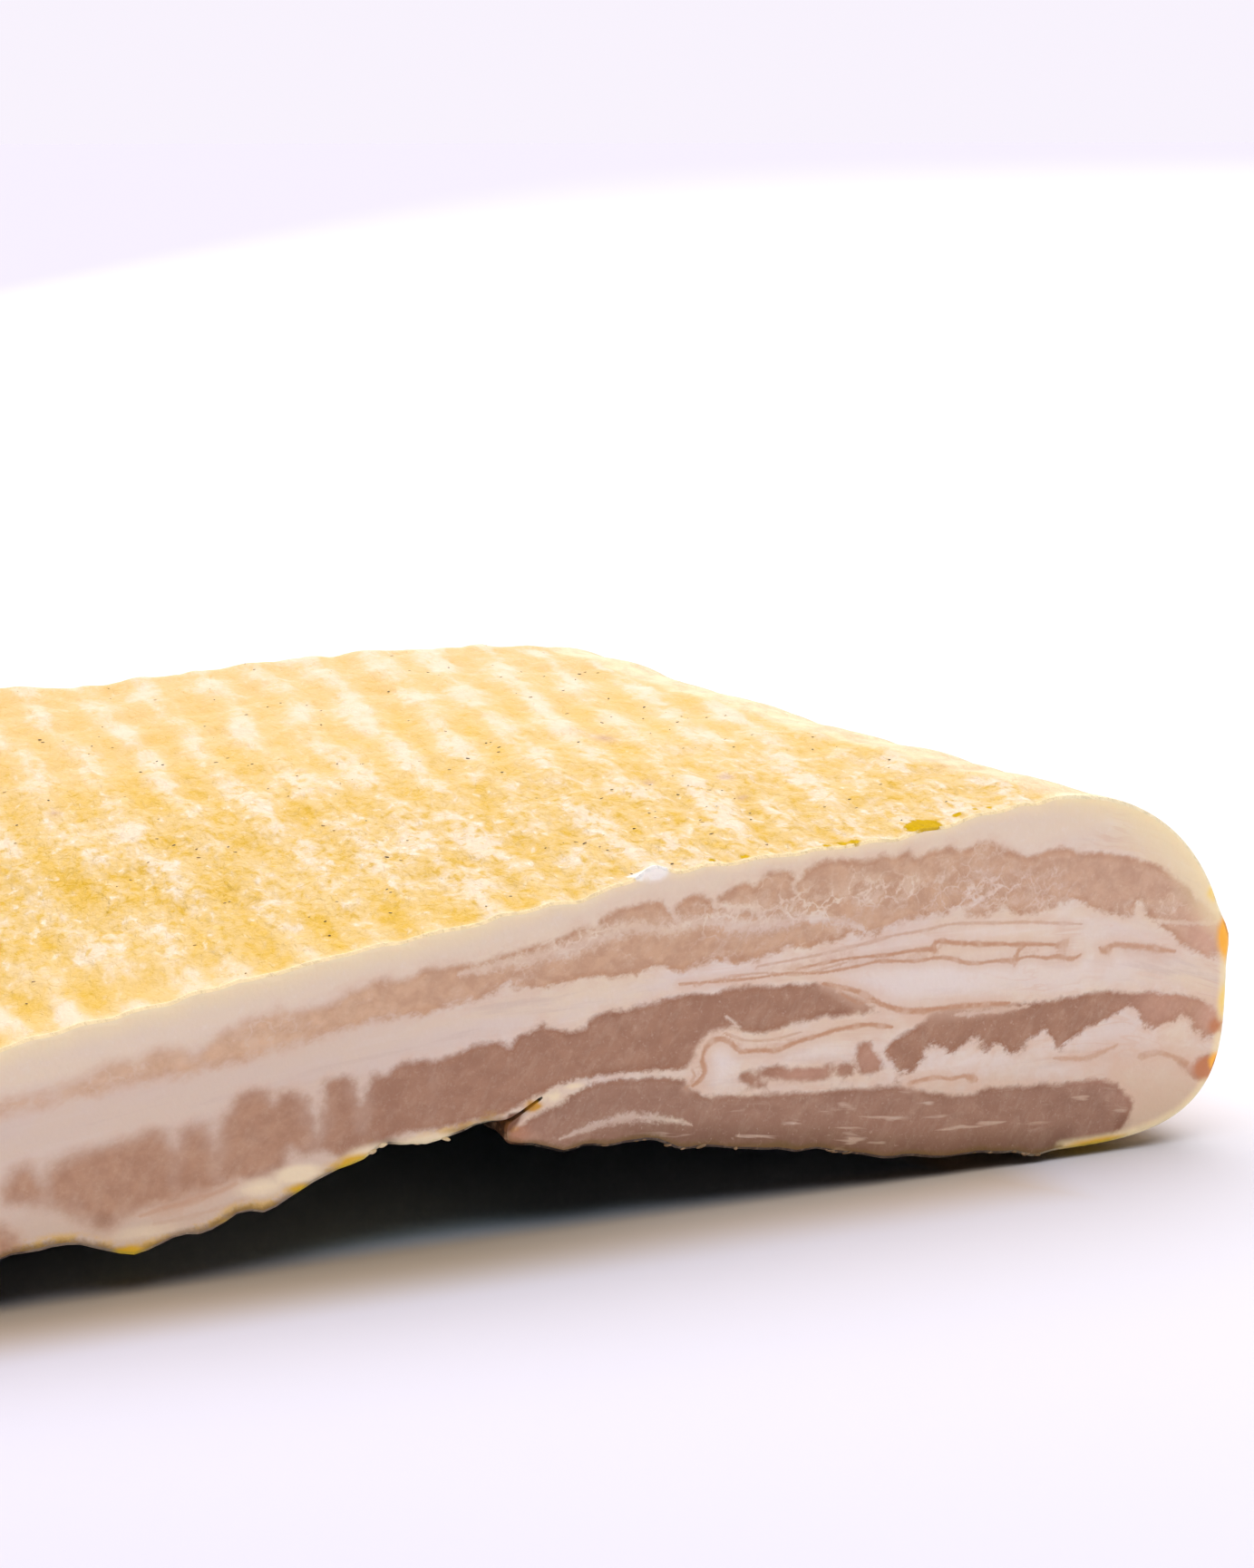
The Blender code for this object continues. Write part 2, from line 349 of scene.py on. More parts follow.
    def flap_nose(self, share: float, y: float) -> list[Pair]:
        """The flap's blunt tip and the slit above it, from the flap's underside to the lean's underside.

        Args:
            share: Share of the way from the front cut to the back cut.
            y: Place across the slab.

        Returns:
            The points as (x, z).
        """
        tip = self.flap_tip(y)
        under = self.underside(self.flap_front, self.flap_back, tip + 2.0, y, share)
        top = under + self.flap_tip_thickness
        depth = mix(self.slit_depth, share)
        rise = self.slit_rise * depth / self.slit_depth[0]
        return [(tip + 0.4, under + self.flap_tip_rounding),
                (tip, 0.5 * (under + top)),
                (tip + 0.3, top - 0.1),
                (tip + 1.2, top + 0.45),
                (tip + depth, top + rise),
                (tip + depth - 0.15, top + rise + self.slit_width),
                (tip + 1.05, top + 0.45 + self.slit_width),
                (tip - 0.5, top + 0.3)]

    def section(self, share: float, steps: "Fineness") -> tuple[Array, list[Zone]]:
        """Outline of the slab at a share of the way from the front cut to the back cut.

        Args:
            share: Share of the way.
            steps: How many points each stretch gets.

        Returns:
            The (n, 2) points, clockwise from the thin shoulder, and the side each belongs to.
        """
        y = (share - 0.5) * self.depth
        shoulder, foot, end, girth = (mix(pair, share) for pair in (
            self.thick_shoulder, self.thick_foot, self.thick_end, self.girth_thick))
        thin_shoulder, thin_foot, thin_end, thin_girth = (mix(pair, share) for pair in (
            self.thin_shoulder, self.thin_foot, self.thin_end, self.girth_thin))
        outline: list[Pair] = []
        zones: list[Zone] = []

        def add(points: Sequence[Pair], zone: Zone) -> None:
            """Adds points of one side."""
            outline.extend(points)
            zones.extend([zone] * len(points))

        span = shoulder - thin_shoulder
        tops = [thin_shoulder + span * i / steps.rind for i in range(steps.rind)]
        add([(x, self.rind_height(x, y, share)) for x in tops], Zone.RIND)
        crest = self.rind_height(shoulder, y, share)
        add(self.end_quarter((shoulder, girth), (end - shoulder, crest - girth), self.thick_upper_squareness,
                             90, 0, steps.thick_end, y), Zone.THICK_END)
        foot_z = self.underside(self.flap_front, self.flap_back, foot, y, share)
        add(self.end_quarter((foot, girth), (end - foot, girth - foot_z), self.thick_lower_squareness,
                             0, -90, steps.thick_end, y), Zone.THICK_END)
        run = self.flap_tip(y) + 2.0 - foot
        unders = [foot + run * i / (steps.flap - 1) for i in range(steps.flap)]
        add([(x, self.underside(self.flap_front, self.flap_back, x, y, share)) for x in unders], Zone.UNDERSIDE)
        nose = self.flap_nose(share, y)
        dense = [tuple(p) for p in smooth_path(np.array([outline[-1]] + nose), steps.nose)[1:]]
        mouth = self.tip_points * steps.nose - 1
        add(dense[:mouth], Zone.UNDERSIDE)
        add(dense[mouth:-1], Zone.SLIT)
        add(dense[-1:], Zone.UNDERSIDE)
        start_x, start_z = nose[-1]
        rest = []
        for i in range(1, steps.lean):
            x = start_x + (thin_foot - start_x) * i / steps.lean
            z = self.underside(self.lean_front, self.lean_back, x, y, share)
            settle = math.exp(-(start_x - x) / 4.0)
            rest.append((x, z + (start_z - z) * settle))
        add(rest, Zone.UNDERSIDE)
        foot_z = self.underside(self.lean_front, self.lean_back, thin_foot, y, share)
        add(self.end_quarter((thin_foot, thin_girth), (thin_foot - thin_end, thin_girth - foot_z),
                             self.thin_squareness, -90, -180, steps.thin_end, y), Zone.THIN_END)
        crest = self.rind_height(thin_shoulder, y, share)
        add(self.end_quarter((thin_shoulder, thin_girth), (thin_shoulder - thin_end, crest - thin_girth),
                             self.thin_squareness, 180, 90, steps.thin_end, y), Zone.THIN_END)
        return np.array(outline), zones


@dataclass(frozen=True)
class Fineness:
    """How many points each stretch of the outline gets, and how fine the cuts are."""

    rind: int = 250
    thick_end: int = 32
    flap: int = 56
    nose: int = 3
    lean: int = 80
    thin_end: int = 16
    row_gap: float = 1.05
    front_grid: float = 0.75
    back_grid: float = 1.3
    line_step: float = 0.55


@dataclass(frozen=True)
class LeanBand:
    """A body of lean on the cut: its upper and lower edge as (x, z) points from left to right, how dark it
    is, how ragged each edge is and how much fine marbling it has.
    """

    upper: tuple[Pair, ...]
    lower: tuple[Pair, ...]
    tone: float
    upper_fray: float
    lower_fray: float
    lace: float = 0.0

    def loop(self) -> Array:
        """The closed edge as points, upper edge first."""
        return np.array(self.upper + self.lower[::-1], float)


@dataclass(frozen=True)
class Streak:
    """A thin line on the cut: (x, z, width) points from end to end, and how strongly its ink shows."""

    course: tuple[Triple, ...]
    ink: float = 1.0
    steps: int = 5

    def dense(self) -> Array:
        """The line as closely spaced (x, z, width) rows."""
        return smooth_path(np.array(self.course, float), self.steps)


LEAN_BANDS: dict[str, LeanBand] = {
    "upper_lean": LeanBand(
        upper=((-125, 15.5), (-100, 18.5), (-75, 20.5), (-55, 22.6), (-40, 24.6), (-34, 25.0), (-30, 26.0),
               (-27, 27.4), (-24, 27.5), (-22, 28.5), (-19, 28.4), (-17.5, 27.2), (-16, 28.6), (-14, 29.6),
               (-12, 30.8), (-8, 31.7), (-5, 31.2), (-2, 31.6), (0, 32.9), (4, 33.9), (7, 33.8), (9, 34.8),
               (12, 34.8), (15, 34.7), (18, 35.3), (21, 35.8), (24, 36.4), (26, 37.0), (27.5, 37.9),
               (29.6, 37.5), (30.3, 38.6), (32, 39.3), (35, 39.8), (37.6, 39.9), (38.9, 38.5), (40.2, 39.8),
               (42, 40.2), (43.4, 39.7), (44.5, 38.5), (45.2, 39.9), (47, 40.9), (48.6, 41.2), (49.5, 40.2),
               (50.2, 41.6), (52, 42.1), (54.2, 42.0), (55.2, 40.9), (56.2, 41.9), (58, 42.7), (60.5, 42.9),
               (63, 42.2), (65, 42.3), (66.5, 42.9), (68, 42.4), (69.6, 43.3), (70.5, 41.9), (72, 42.6),
               (75, 43.1), (77, 42.4), (79, 43.1), (80.5, 43.1), (82, 42.2), (85, 41.0), (86.5, 40.7),
               (88.5, 41.3), (90.5, 41.4), (93, 40.7), (96, 40.3), (99, 39.6), (101.5, 39.0), (104, 37.9),
               (107, 36.0), (109, 34.2), (110.5, 32.6), (112.5, 30.8), (116, 29.6)),
        lower=((-125, 14.6), (-100, 17.6), (-75, 19.7), (-55, 21.8), (-40, 23.5), (-34, 24.2), (-29, 24.6),
               (-25, 25.2), (-20, 25.7), (-14, 26.2), (-10, 26.8), (-6, 27.6), (-2, 28.4), (2, 29.0),
               (6, 29.2), (10, 29.7), (15, 30.0), (17, 30.4), (18.8, 31.8), (20, 30.8), (23, 30.6),
               (27, 31.4), (30, 31.5), (33, 31.2), (35, 31.2), (37.5, 31.8), (40, 30.9), (42, 31.3),
               (44, 32.0), (46, 31.6), (49, 31.3), (51.5, 31.9), (54, 32.2), (57, 32.2), (60, 32.8),
               (62, 33.2), (66, 32.9), (68, 33.8), (70, 34.4), (74, 34.6), (76, 35.0), (78.5, 34.0),
               (80, 33.6), (83, 34.6), (85, 33.4), (88, 33.5), (90, 34.2), (93, 34.4), (95, 33.4), (97, 32.4),
               (99, 31.9), (100.9, 31.6), (101.6, 33.4), (102.4, 32.0), (104, 30.8), (106, 29.2), (108, 27.4),
               (110, 26.0), (112, 24.9), (116, 24.2)),
        tone=0.0, upper_fray=0.25, lower_fray=0.9, lace=1.0),
    "main_muscle": LeanBand(
        upper=((-39.4, 14.6), (-38, 16.6), (-36.5, 17.0), (-35, 15.4), (-34, 16.6), (-31, 17.8), (-28, 18.2),
               (-25, 18.6), (-23, 19.3), (-21.2, 19.0), (-20.2, 17.4), (-19.4, 18.8), (-18, 19.4),
               (-16.5, 19.2), (-15.7, 16.8), (-15, 19.7), (-13.6, 20.6), (-13, 22.0), (-11, 22.6),
               (-9.6, 22.2), (-8.9, 21.0), (-7.5, 22.2), (-6, 21.6), (-5, 21.0), (-4.4, 18.4), (-3.8, 16.2),
               (-3.5, 20.0), (-3, 22.6), (-1, 23.0), (0.6, 22.2), (1.1, 19.8), (1.8, 21.4), (2.6, 22.8),
               (4, 22.6), (5.2, 23.4), (7, 23.8), (10, 23.8), (12, 23.8), (14, 24.6), (15.5, 25.0),
               (18.2, 25.0), (19, 23.6), (20, 25.4), (23, 26.4), (24.2, 25.8), (26, 25.0), (28, 25.3),
               (29, 26.2), (30, 27.0), (33, 26.9), (36, 27.3), (38, 27.7), (41, 28.0), (44, 27.9), (47, 28.2),
               (50, 28.0), (54, 27.8), (57, 27.8), (59, 27.2), (60.5, 26.4), (62, 25.4), (64, 24.5),
               (66.4, 23.2)),
        lower=((-39.4, 13.2), (-37, 12.8), (-35, 12.2), (-33, 11.0), (-31.5, 10.0), (-30, 9.4), (-29.4, 8.6),
               (-28, 8.3), (-26.8, 9.4), (-24, 9.9), (-21, 10.0), (-19, 10.6), (-16, 11.2), (-13, 12.0),
               (-10, 12.4), (-8, 12.8), (-7.6, 13.8), (-7, 15.0), (-5.6, 14.0), (-4, 14.4), (-2.6, 13.8),
               (-1, 13.0), (1, 13.2), (3, 14.4), (5, 15.0), (8, 15.0), (11, 15.3), (14, 15.4), (17, 15.6),
               (20, 16.6), (22.6, 17.8), (24.5, 18.5), (27, 18.9), (30, 19.2), (33, 19.1), (36, 19.0),
               (39, 18.8), (41, 18.7), (41.9, 19.4), (42.3, 20.8), (42.9, 22.2), (44, 23.1), (45.4, 23.4),
               (46.6, 23.2), (48, 22.6), (50, 22.2), (53, 22.3), (56, 22.9), (59, 23.2), (62, 23.0),
               (66.4, 22.9)),
        tone=1.0, upper_fray=0.35, lower_fray=0.35),
    "right_muscle": LeanBand(
        upper=((67.1, 18.0), (68.5, 19.2), (71, 20.2), (72.5, 21.0), (73.4, 22.0), (76, 22.2), (80, 22.0),
               (83, 22.0), (86, 21.7), (88, 21.5), (90, 21.6), (93, 21.9), (96, 22.1), (99, 21.8),
               (101, 21.3), (104, 21.2), (107, 20.6), (110, 20.0), (112, 19.0), (113.5, 17.6), (116, 16.2)),
        lower=((67.1, 17.6), (68, 16.4), (69, 14.7), (70.5, 14.4), (71.5, 15.2), (72.5, 17.0), (73.5, 17.9),
               (75, 17.0), (76, 16.5), (77, 17.0), (78, 17.6), (79.4, 17.9), (80.4, 16.6), (81.2, 16.1),
               (82.5, 17.0), (83.2, 16.1), (85, 15.3), (86.2, 15.7), (87, 16.8), (88, 17.4), (89.3, 17.8),
               (90, 16.4), (90.9, 14.6), (91.7, 14.5), (92.5, 15.8), (93.6, 16.6), (95, 17.2), (96.5, 17.6),
               (98, 18.2), (99.6, 18.8), (101, 19.8), (102.5, 18.6), (103, 17.2), (105, 16.6), (107.5, 17.2),
               (109, 18.0), (110.5, 16.4), (111.2, 15.0), (112.2, 14.1), (113.5, 14.0), (116, 14.6)),
        tone=1.0, upper_fray=0.3, lower_fray=1.0),
    "flap_muscle": LeanBand(
        upper=((18.6, 13.9), (21, 14.8), (23, 15.6), (25, 16.5), (27, 17.5), (29, 18.2), (31, 18.5),
               (34, 18.4), (37, 18.1), (39, 17.8), (40.5, 17.3), (41.5, 16.2), (43, 15.2), (45, 14.7),
               (48, 14.6), (50, 14.3), (53, 14.1), (56, 13.8), (60, 13.6), (63, 13.4), (66, 13.2), (70, 12.7),
               (72, 12.1), (74, 11.3), (77, 10.8), (79, 10.7), (81, 11.2), (84, 10.9), (88, 10.7), (92, 10.5),
               (96, 10.4), (98, 10.0), (100, 9.2), (101.5, 7.8), (102.2, 6.4)),
        lower=((18.6, 12.9), (20, 9.5), (30, 8.0), (50, 5.0), (70, 1.0), (90, -1.0), (98, 0.6), (101, 3.4),
               (102.2, 5.8)),
        tone=1.2, upper_fray=0.25, lower_fray=0.1),
    "end_wedge": LeanBand(
        upper=((108.6, 11.3), (110.5, 10.5), (113, 11.6), (116, 12.6)),
        lower=((108.6, 11.0), (110.4, 9.4), (112, 8.0), (116, 7.4)),
        tone=1.0, upper_fray=0.4, lower_fray=0.3),
    "small_patch_1": LeanBand(
        upper=((47.8, 17.2), (49.4, 17.3), (51.4, 15.6)),
        lower=((47.8, 16.4), (49.4, 15.2), (51.4, 14.7)),
        tone=1.0, upper_fray=0.0, lower_fray=0.0),
    "small_patch_2": LeanBand(
        upper=((50.2, 17.9), (52, 17.5), (54, 17.3), (56, 17.1), (58, 16.8), (60, 16.9)),
        lower=((50.2, 16.6), (53, 15.7), (55.5, 15.3), (58, 14.9), (60, 15.0)),
        tone=1.0, upper_fray=0.3, lower_fray=0.0),
    "small_patch_3": LeanBand(
        upper=((60.4, 16.2), (61.4, 17.0), (62.4, 16.9), (63.2, 16.4)),
        lower=((60.4, 15.3), (61.4, 15.0), (62.4, 15.0), (63.2, 15.0)),
        tone=1.0, upper_fray=0.4, lower_fray=0.4),
    "small_patch_4": LeanBand(
        upper=((63.1, 17.8), (63.8, 19.2), (65, 19.2), (65.8, 17.8), (67, 15.9)),
        lower=((63.1, 16.4), (63.6, 15.2), (65, 14.8), (66, 15.0), (67, 15.4)),
        tone=1.0, upper_fray=0.3, lower_fray=0.3),
    "corner_patch": LeanBand(
        upper=((-60, 9.0), (-46, 11.0), (-40, 10.4), (-38.4, 9.2), (-37.8, 7.6)),
        lower=((-60, -2.0), (-46, 2.0), (-40, 4.0), (-38.4, 5.0), (-37.8, 6.4)),
        tone=1.0, upper_fray=0.5, lower_fray=0.1),
    "hidden_muscle": LeanBand(
        upper=((-112, 11.0), (-104, 13.6), (-92, 15.0), (-80, 15.4), (-68, 16.2), (-56, 16.6), (-47, 15.8),
               (-42.5, 14.4)),
        lower=((-112, 8.0), (-104, 6.0), (-92, 5.4), (-80, 6.2), (-68, 7.4), (-56, 10.4), (-47, 12.4),
               (-42.5, 13.4)),
        tone=1.0, upper_fray=0.4, lower_fray=0.4),
}

# White threads of fat that cross the lean, and last the pale seam above the flap
FAT_THREADS: tuple[Streak, ...] = (
    Streak(((13, 33.6, 0.3), (16, 34.0, 0.9), (19, 34.4, 1.2), (23, 34.8, 1.4), (26, 35.2, 1.7),
            (29, 35.9, 2.0), (32, 36.8, 1.8), (35, 37.0, 1.2), (38, 36.2, 1.2), (41, 36.7, 1.5),
            (44, 36.6, 1.0), (47, 35.8, 1.7), (50, 35.4, 1.6), (53, 35.8, 1.6), (56, 36.0, 1.1),
            (59, 35.4, 1.0), (62, 34.6, 0.7), (64, 33.6, 0.5))),
    Streak(((44.4, 38.6, 0.6), (47, 38.3, 0.6), (49.6, 37.8, 0.8), (50.4, 36.4, 0.6))),
    Streak(((38.9, 38.8, 0.5), (39.5, 37.6, 0.6), (40.2, 36.8, 0.8))),
    Streak(((55.1, 41.2, 0.5), (54.4, 39.8, 0.4), (55.4, 38.8, 0.3))),
    Streak(((75.8, 34.6, 1.3), (78, 35.2, 0.5), (80.5, 36.4, 0.3), (82.5, 37.4, 0.1))),
    Streak(((101.6, 33.0, 0.1), (101.7, 32.2, 0.5), (102.0, 31.0, 1.0))),
    Streak(((104, 30.6, 0.3), (108, 29.9, 0.4), (112, 29.5, 0.5), (116, 29.3, 0.6))),
    Streak(((76.5, 21.3, 0.3), (79, 21.2, 0.5), (82, 21.2, 0.5), (85, 21.2, 0.4), (87, 21.3, 0.1))),
    Streak(((25, 11.9, 0.2), (27.6, 12.6, 0.5), (30.4, 13.2, 0.9), (33.3, 13.5, 1.1), (36.7, 13.0, 0.9),
            (39.6, 12.3, 0.5), (41.6, 11.5, 0.2))),
    Streak(((22.6, 16.0, 0.5), (24.6, 17.3, 1.7), (26.4, 18.2, 1.3), (28.6, 18.8, 0.7))),
    Streak(((46.0, 24.6, 0.15), (46.8, 24.0, 0.3), (47.6, 23.0, 0.4))),
    Streak(((26.5, 18.5, 0.4), (29, 18.7, 0.5), (32, 18.8, 0.4), (35, 18.7, 0.4), (38, 18.4, 0.5),
            (41, 18.0, 0.8), (42.2, 16.8, 0.5))),
)

# Thin brown lines between and inside the layers of fat, and pale seams of the lean where the ink is negative
BROWN_LINES: tuple[Streak, ...] = (
    Streak(((50, 30.5, 0.2), (58, 31.1, 0.3), (62, 31.6, 0.3), (65, 32.0, 0.35), (68, 32.5, 0.35),
            (72, 32.7, 0.35), (75, 33.1, 0.3), (78, 33.0, 0.3), (82, 32.6, 0.3), (86, 32.3, 0.35),
            (91, 31.6, 0.3), (94, 31.2, 0.15)), 0.55),
    Streak(((55, 29.6, 0.2), (60, 30.1, 0.3), (63, 30.2, 0.3), (67, 30.1, 0.4), (70, 30.25, 0.4),
            (72.6, 30.2, 0.55), (73.5, 30.0, 0.5), (73.3, 30.8, 0.5), (74.2, 31.1, 0.55), (76, 30.7, 0.5),
            (79, 30.2, 0.6), (82, 29.9, 0.45), (84, 29.6, 0.5), (86, 29.4, 0.6), (88, 29.2, 0.4),
            (90.4, 28.9, 0.3))),
    Streak(((40, 29.4, 0.2), (45, 29.2, 0.3), (50, 29.1, 0.3), (54, 29.2, 0.3), (58, 28.8, 0.3),
            (63, 29.1, 0.35), (66, 29.4, 0.4), (69, 29.1, 0.35), (71, 28.9, 0.35), (74, 29.0, 0.4),
            (76, 28.6, 0.4), (77.5, 28.0, 0.45), (79, 27.7, 0.35), (82, 27.7, 0.4), (84.5, 27.6, 0.5),
            (84.9, 28.6, 0.5), (85.8, 29.4, 0.5)), 0.9),
    Streak(((84.6, 27.5, 0.4), (86.5, 27.8, 0.3), (89, 27.3, 0.4), (90.4, 27.4, 0.6), (92.6, 26.8, 0.5),
            (94, 27.4, 0.2)), 0.9),
    Streak(((84.4, 28.0, 0.3), (84.5, 27.2, 0.35), (84.4, 26.5, 0.15)), 0.8),
    Streak(((90.6, 28.6, 0.5), (91.4, 28.9, 1.0), (92, 29.3, 0.3)), 0.9),
    Streak(((96.4, 27.9, 0.4), (97.2, 27.3, 1.1), (98.4, 28.0, 0.7), (100, 27.8, 0.7), (103, 27.2, 0.9),
            (105, 26.7, 0.8), (107.5, 26.2, 0.3)), 0.85),
    Streak(((42, 28.9, 0.15), (46, 29.6, 0.25), (51, 29.6, 0.25), (55, 28.9, 0.25), (58, 29.2, 0.25),
            (62, 29.8, 0.2)), 0.55),
    Streak(((58.6, 27.4, 0.3), (62, 26.3, 0.5), (64, 25.4, 0.6), (66, 24.1, 0.6), (68, 23.2, 0.6),
            (70, 22.6, 0.6), (72, 22.4, 0.7), (76, 22.4, 0.6), (80, 22.2, 0.6), (84, 22.0, 0.4))),
    Streak(((60.6, 26.2, 0.2), (63, 24.6, 0.4), (65.5, 24.4, 0.3), (67.4, 23.2, 0.4)), 0.7),
    Streak(((41.7, 16.4, 0.3), (42.6, 17.0, 0.5), (43.3, 18.0, 0.6), (43.0, 19.4, 0.55), (43.2, 20.6, 0.55),
            (44, 21.6, 0.55), (45, 22.0, 0.6), (46.3, 21.6, 0.55), (47.3, 20.6, 0.5), (48, 20.0, 0.5),
            (50, 19.9, 0.5), (52.5, 19.6, 0.6), (54, 20.0, 0.55), (56, 20.5, 0.55), (58, 20.8, 0.5),
            (60, 21.2, 0.5), (62, 21.4, 0.55), (64.5, 21.5, 0.5), (66, 21.2, 0.5), (68, 20.7, 0.3))),
    Streak(((46, 22.6, 0.2), (47.4, 21.8, 0.3), (49, 21.3, 0.3), (52, 21.0, 0.25), (56, 21.6, 0.2)), 0.5),
    Streak(((70.6, 13.1, 0.5), (72.4, 13.4, 0.5), (74.4, 13.4, 0.4), (76, 13.0, 0.4), (78, 13.1, 0.5),
            (79, 12.7, 1.1), (79.8, 12.4, 0.4)), 0.85),
    Streak(((90.6, 13.9, 0.3), (93, 13.6, 0.6), (95, 13.3, 0.7), (97, 13.8, 0.8), (99.6, 14.5, 0.6)), 0.6),
    Streak(((103.2, 12.6, 0.8), (105.2, 12.8, 0.6), (107, 12.4, 0.5), (108.6, 11.6, 0.7),
            (110, 10.7, 0.8)), 0.75),
    Streak(((-24.5, 9.4, 0.3), (-22, 9.9, 0.6), (-19, 10.3, 0.8), (-16, 10.9, 0.7), (-13.4, 11.8, 0.4)), 0.5),
    Streak(((-23.0, 8.2, 0.3), (-19.0, 8.5, 0.5), (-15.0, 9.2, 0.4), (-12.0, 10.0, 0.3)), 0.3),
    Streak(((-35.0, 16.4, 1.0), (-34.6, 14.4, 0.7), (-34.8, 12.4, 0.8)), -0.4),
    Streak(((-31.6, 12.2, 0.6), (-31.0, 10.8, 0.6), (-30.6, 9.6, 0.8)), -0.25),
    Streak(((-20.4, 18.6, 1.3), (-20.0, 16.0, 0.8), (-20.6, 13.4, 0.6), (-20.2, 11.4, 0.7)), -0.26),
    Streak(((-15.8, 18.6, 1.5), (-15.4, 16.0, 1.1), (-15.9, 13.4, 0.8), (-15.4, 12.6, 0.5)), -0.36),
    Streak(((-4.2, 19.4, 1.8), (-4.0, 16.8, 1.1), (-4.4, 15.0, 1.0), (-4.2, 13.8, 1.2)), -0.42),
    Streak(((1.0, 21.4, 1.4), (1.4, 18.8, 1.0), (1.0, 16.4, 0.6)), -0.36),
    Streak(((9.6, 22.4, 0.5), (9.9, 19.4, 0.6), (9.4, 16.6, 0.5)), -0.1),
    Streak(((40.8, 16.2, 0.2), (41.6, 16.9, 0.3), (42.0, 17.8, 0.3), (41.6, 18.6, 0.2)), 0.6),
)


class Tint(Enum):
    """Colours of the cut's stains: from smoke and drying on its rim, and paler or pinker patches inside."""

    ORANGE = "orange"
    RUSSET = "russet"
    YELLOW = "yellow"
    BROWN = "brown"
    AMBER = "amber"
    GOLD = "gold"
    CREAM = "cream"
    WHITE = "white"
    BLUSH = "blush"
    SCRAP = "scrap"
    CLOUDY = "cloudy"


# Stains as (x, z, reach along X, reach along Z, strength)
STAINS: dict[Tint, tuple[tuple[float, ...], ...]] = {
    Tint.ORANGE: ((115.8, 27.6, 1.9, 3.0, 1.7), (114.2, 10.6, 1.0, 1.3, 1.0)),
    Tint.YELLOW: ((115.4, 24.6, 1.0, 3.0, 0.5), (112.6, 33.4, 1.2, 1.3, 0.8), (115.2, 18.8, 1.2, 3.0, 0.75)),
    Tint.RUSSET: ((112.9, 9.9, 1.8, 1.5, 1.2), (114.0, 15.5, 1.4, 1.3, 0.8), (114.4, 28.2, 1.6, 2.4, 0.5),
                  (19.8, 13.4, 2.6, 2.0, 0.4)),
    Tint.BROWN: ((18.4, 14.5, 1.1, 0.8, 1.4), (19.6, 15.3, 1.1, 0.6, 1.3), (20.9, 16.4, 0.9, 0.4, 1.0),
                 (100.6, 4.0, 2.2, 2.2, 0.42), (-28.6, 9.6, 2.0, 1.5, 0.4)),
    Tint.AMBER: ((19.2, 14.3, 0.8, 0.7, 0.8), (21.7, 16.4, 1.2, 0.6, 1.1)),
    Tint.GOLD: ((-6.2, 10.2, 1.9, 0.7, 0.8), (0.2, 12.4, 2.5, 0.9, 1.1), (-13.2, 7.4, 2.4, 0.7, 0.8),
                (-19.5, 5.6, 3.0, 0.6, 0.6), (-26.0, 5.4, 2.2, 0.7, 0.9), (-33.0, 6.4, 1.8, 0.6, 0.6),
                (12.0, 13.6, 3.0, 0.5, 0.6), (98.0, 1.6, 6.0, 0.8, 0.9), (36.0, 9.3, 3.0, 0.5, 0.4),
                (47.5, 7.2, 1.6, 0.5, 0.5)),
    Tint.CREAM: ((9.0, 13.6, 4.6, 1.2, 1.0), (2.4, 13.0, 3.6, 1.3, 1.0), (15.5, 14.8, 2.2, 0.7, 0.6),
                 (-10.6, 10.8, 3.6, 1.4, 0.7), (-24.0, 7.4, 6.0, 1.2, 0.5), (115.2, 21.6, 1.0, 2.2, 0.8),
                 (24.2, 17.3, 1.6, 0.55, 0.8), (26.8, 18.3, 1.6, 0.45, 0.7), (-6.4, 11.9, 3.0, 1.2, 1.0)),
    Tint.WHITE: ((74.0, 26.2, 15.0, 2.7, 0.9), (94.0, 25.4, 9.0, 2.0, 0.6), (45.6, 18.8, 2.6, 2.6, 1.0),
                 (57.0, 18.6, 9.0, 1.6, 0.7), (78.0, 14.4, 9.0, 1.4, 0.7), (92.0, 12.2, 6.0, 1.0, 0.8),
                 (104.5, 17.0, 1.6, 3.4, 0.7), (78.0, 31.4, 14.0, 0.8, 0.6), (54.0, 31.0, 14.0, 0.9, 0.5)),
    Tint.BLUSH: ((113.6, 17.2, 3.2, 3.2, 0.8), (106.0, 19.0, 6.0, 3.4, 0.5), (113.0, 28.6, 4.6, 4.0, 0.8),
                 (20.4, 12.4, 3.2, 2.4, 0.2), (111.6, 10.4, 2.2, 1.6, 0.8), (99.5, 12.4, 6.0, 2.6, 0.9),
                 (105.0, 9.0, 5.0, 3.4, 0.6), (56.0, 16.0, 5.0, 1.5, 0.6), (65.0, 17.0, 2.2, 2.4, 0.5)),
    Tint.SCRAP: ((36.9, 43.3, 1.7, 0.9, 1.2), (35.3, 42.9, 0.9, 0.5, 0.9)),
    Tint.CLOUDY: ((45.0, 37.4, 5.0, 1.4, 0.9), (57.0, 37.4, 7.0, 2.2, 1.2), (67.0, 38.2, 6.0, 2.0, 1.0),
                  (83.0, 36.6, 7.0, 2.6, 0.8), (28.0, 36.6, 7.0, 1.0, 0.6)),
}

# Brownish spots of the rind, as (x, y, radius)
BRUISES = ((52.5, -2.5, 1.5), (60.0, -29.5, 0.9), (58.5, -39.0, 0.6), (50.0, -27.0, 0.6), (-23.0, 3.0, 0.6),
           (-71.0, 21.0, 1.4))

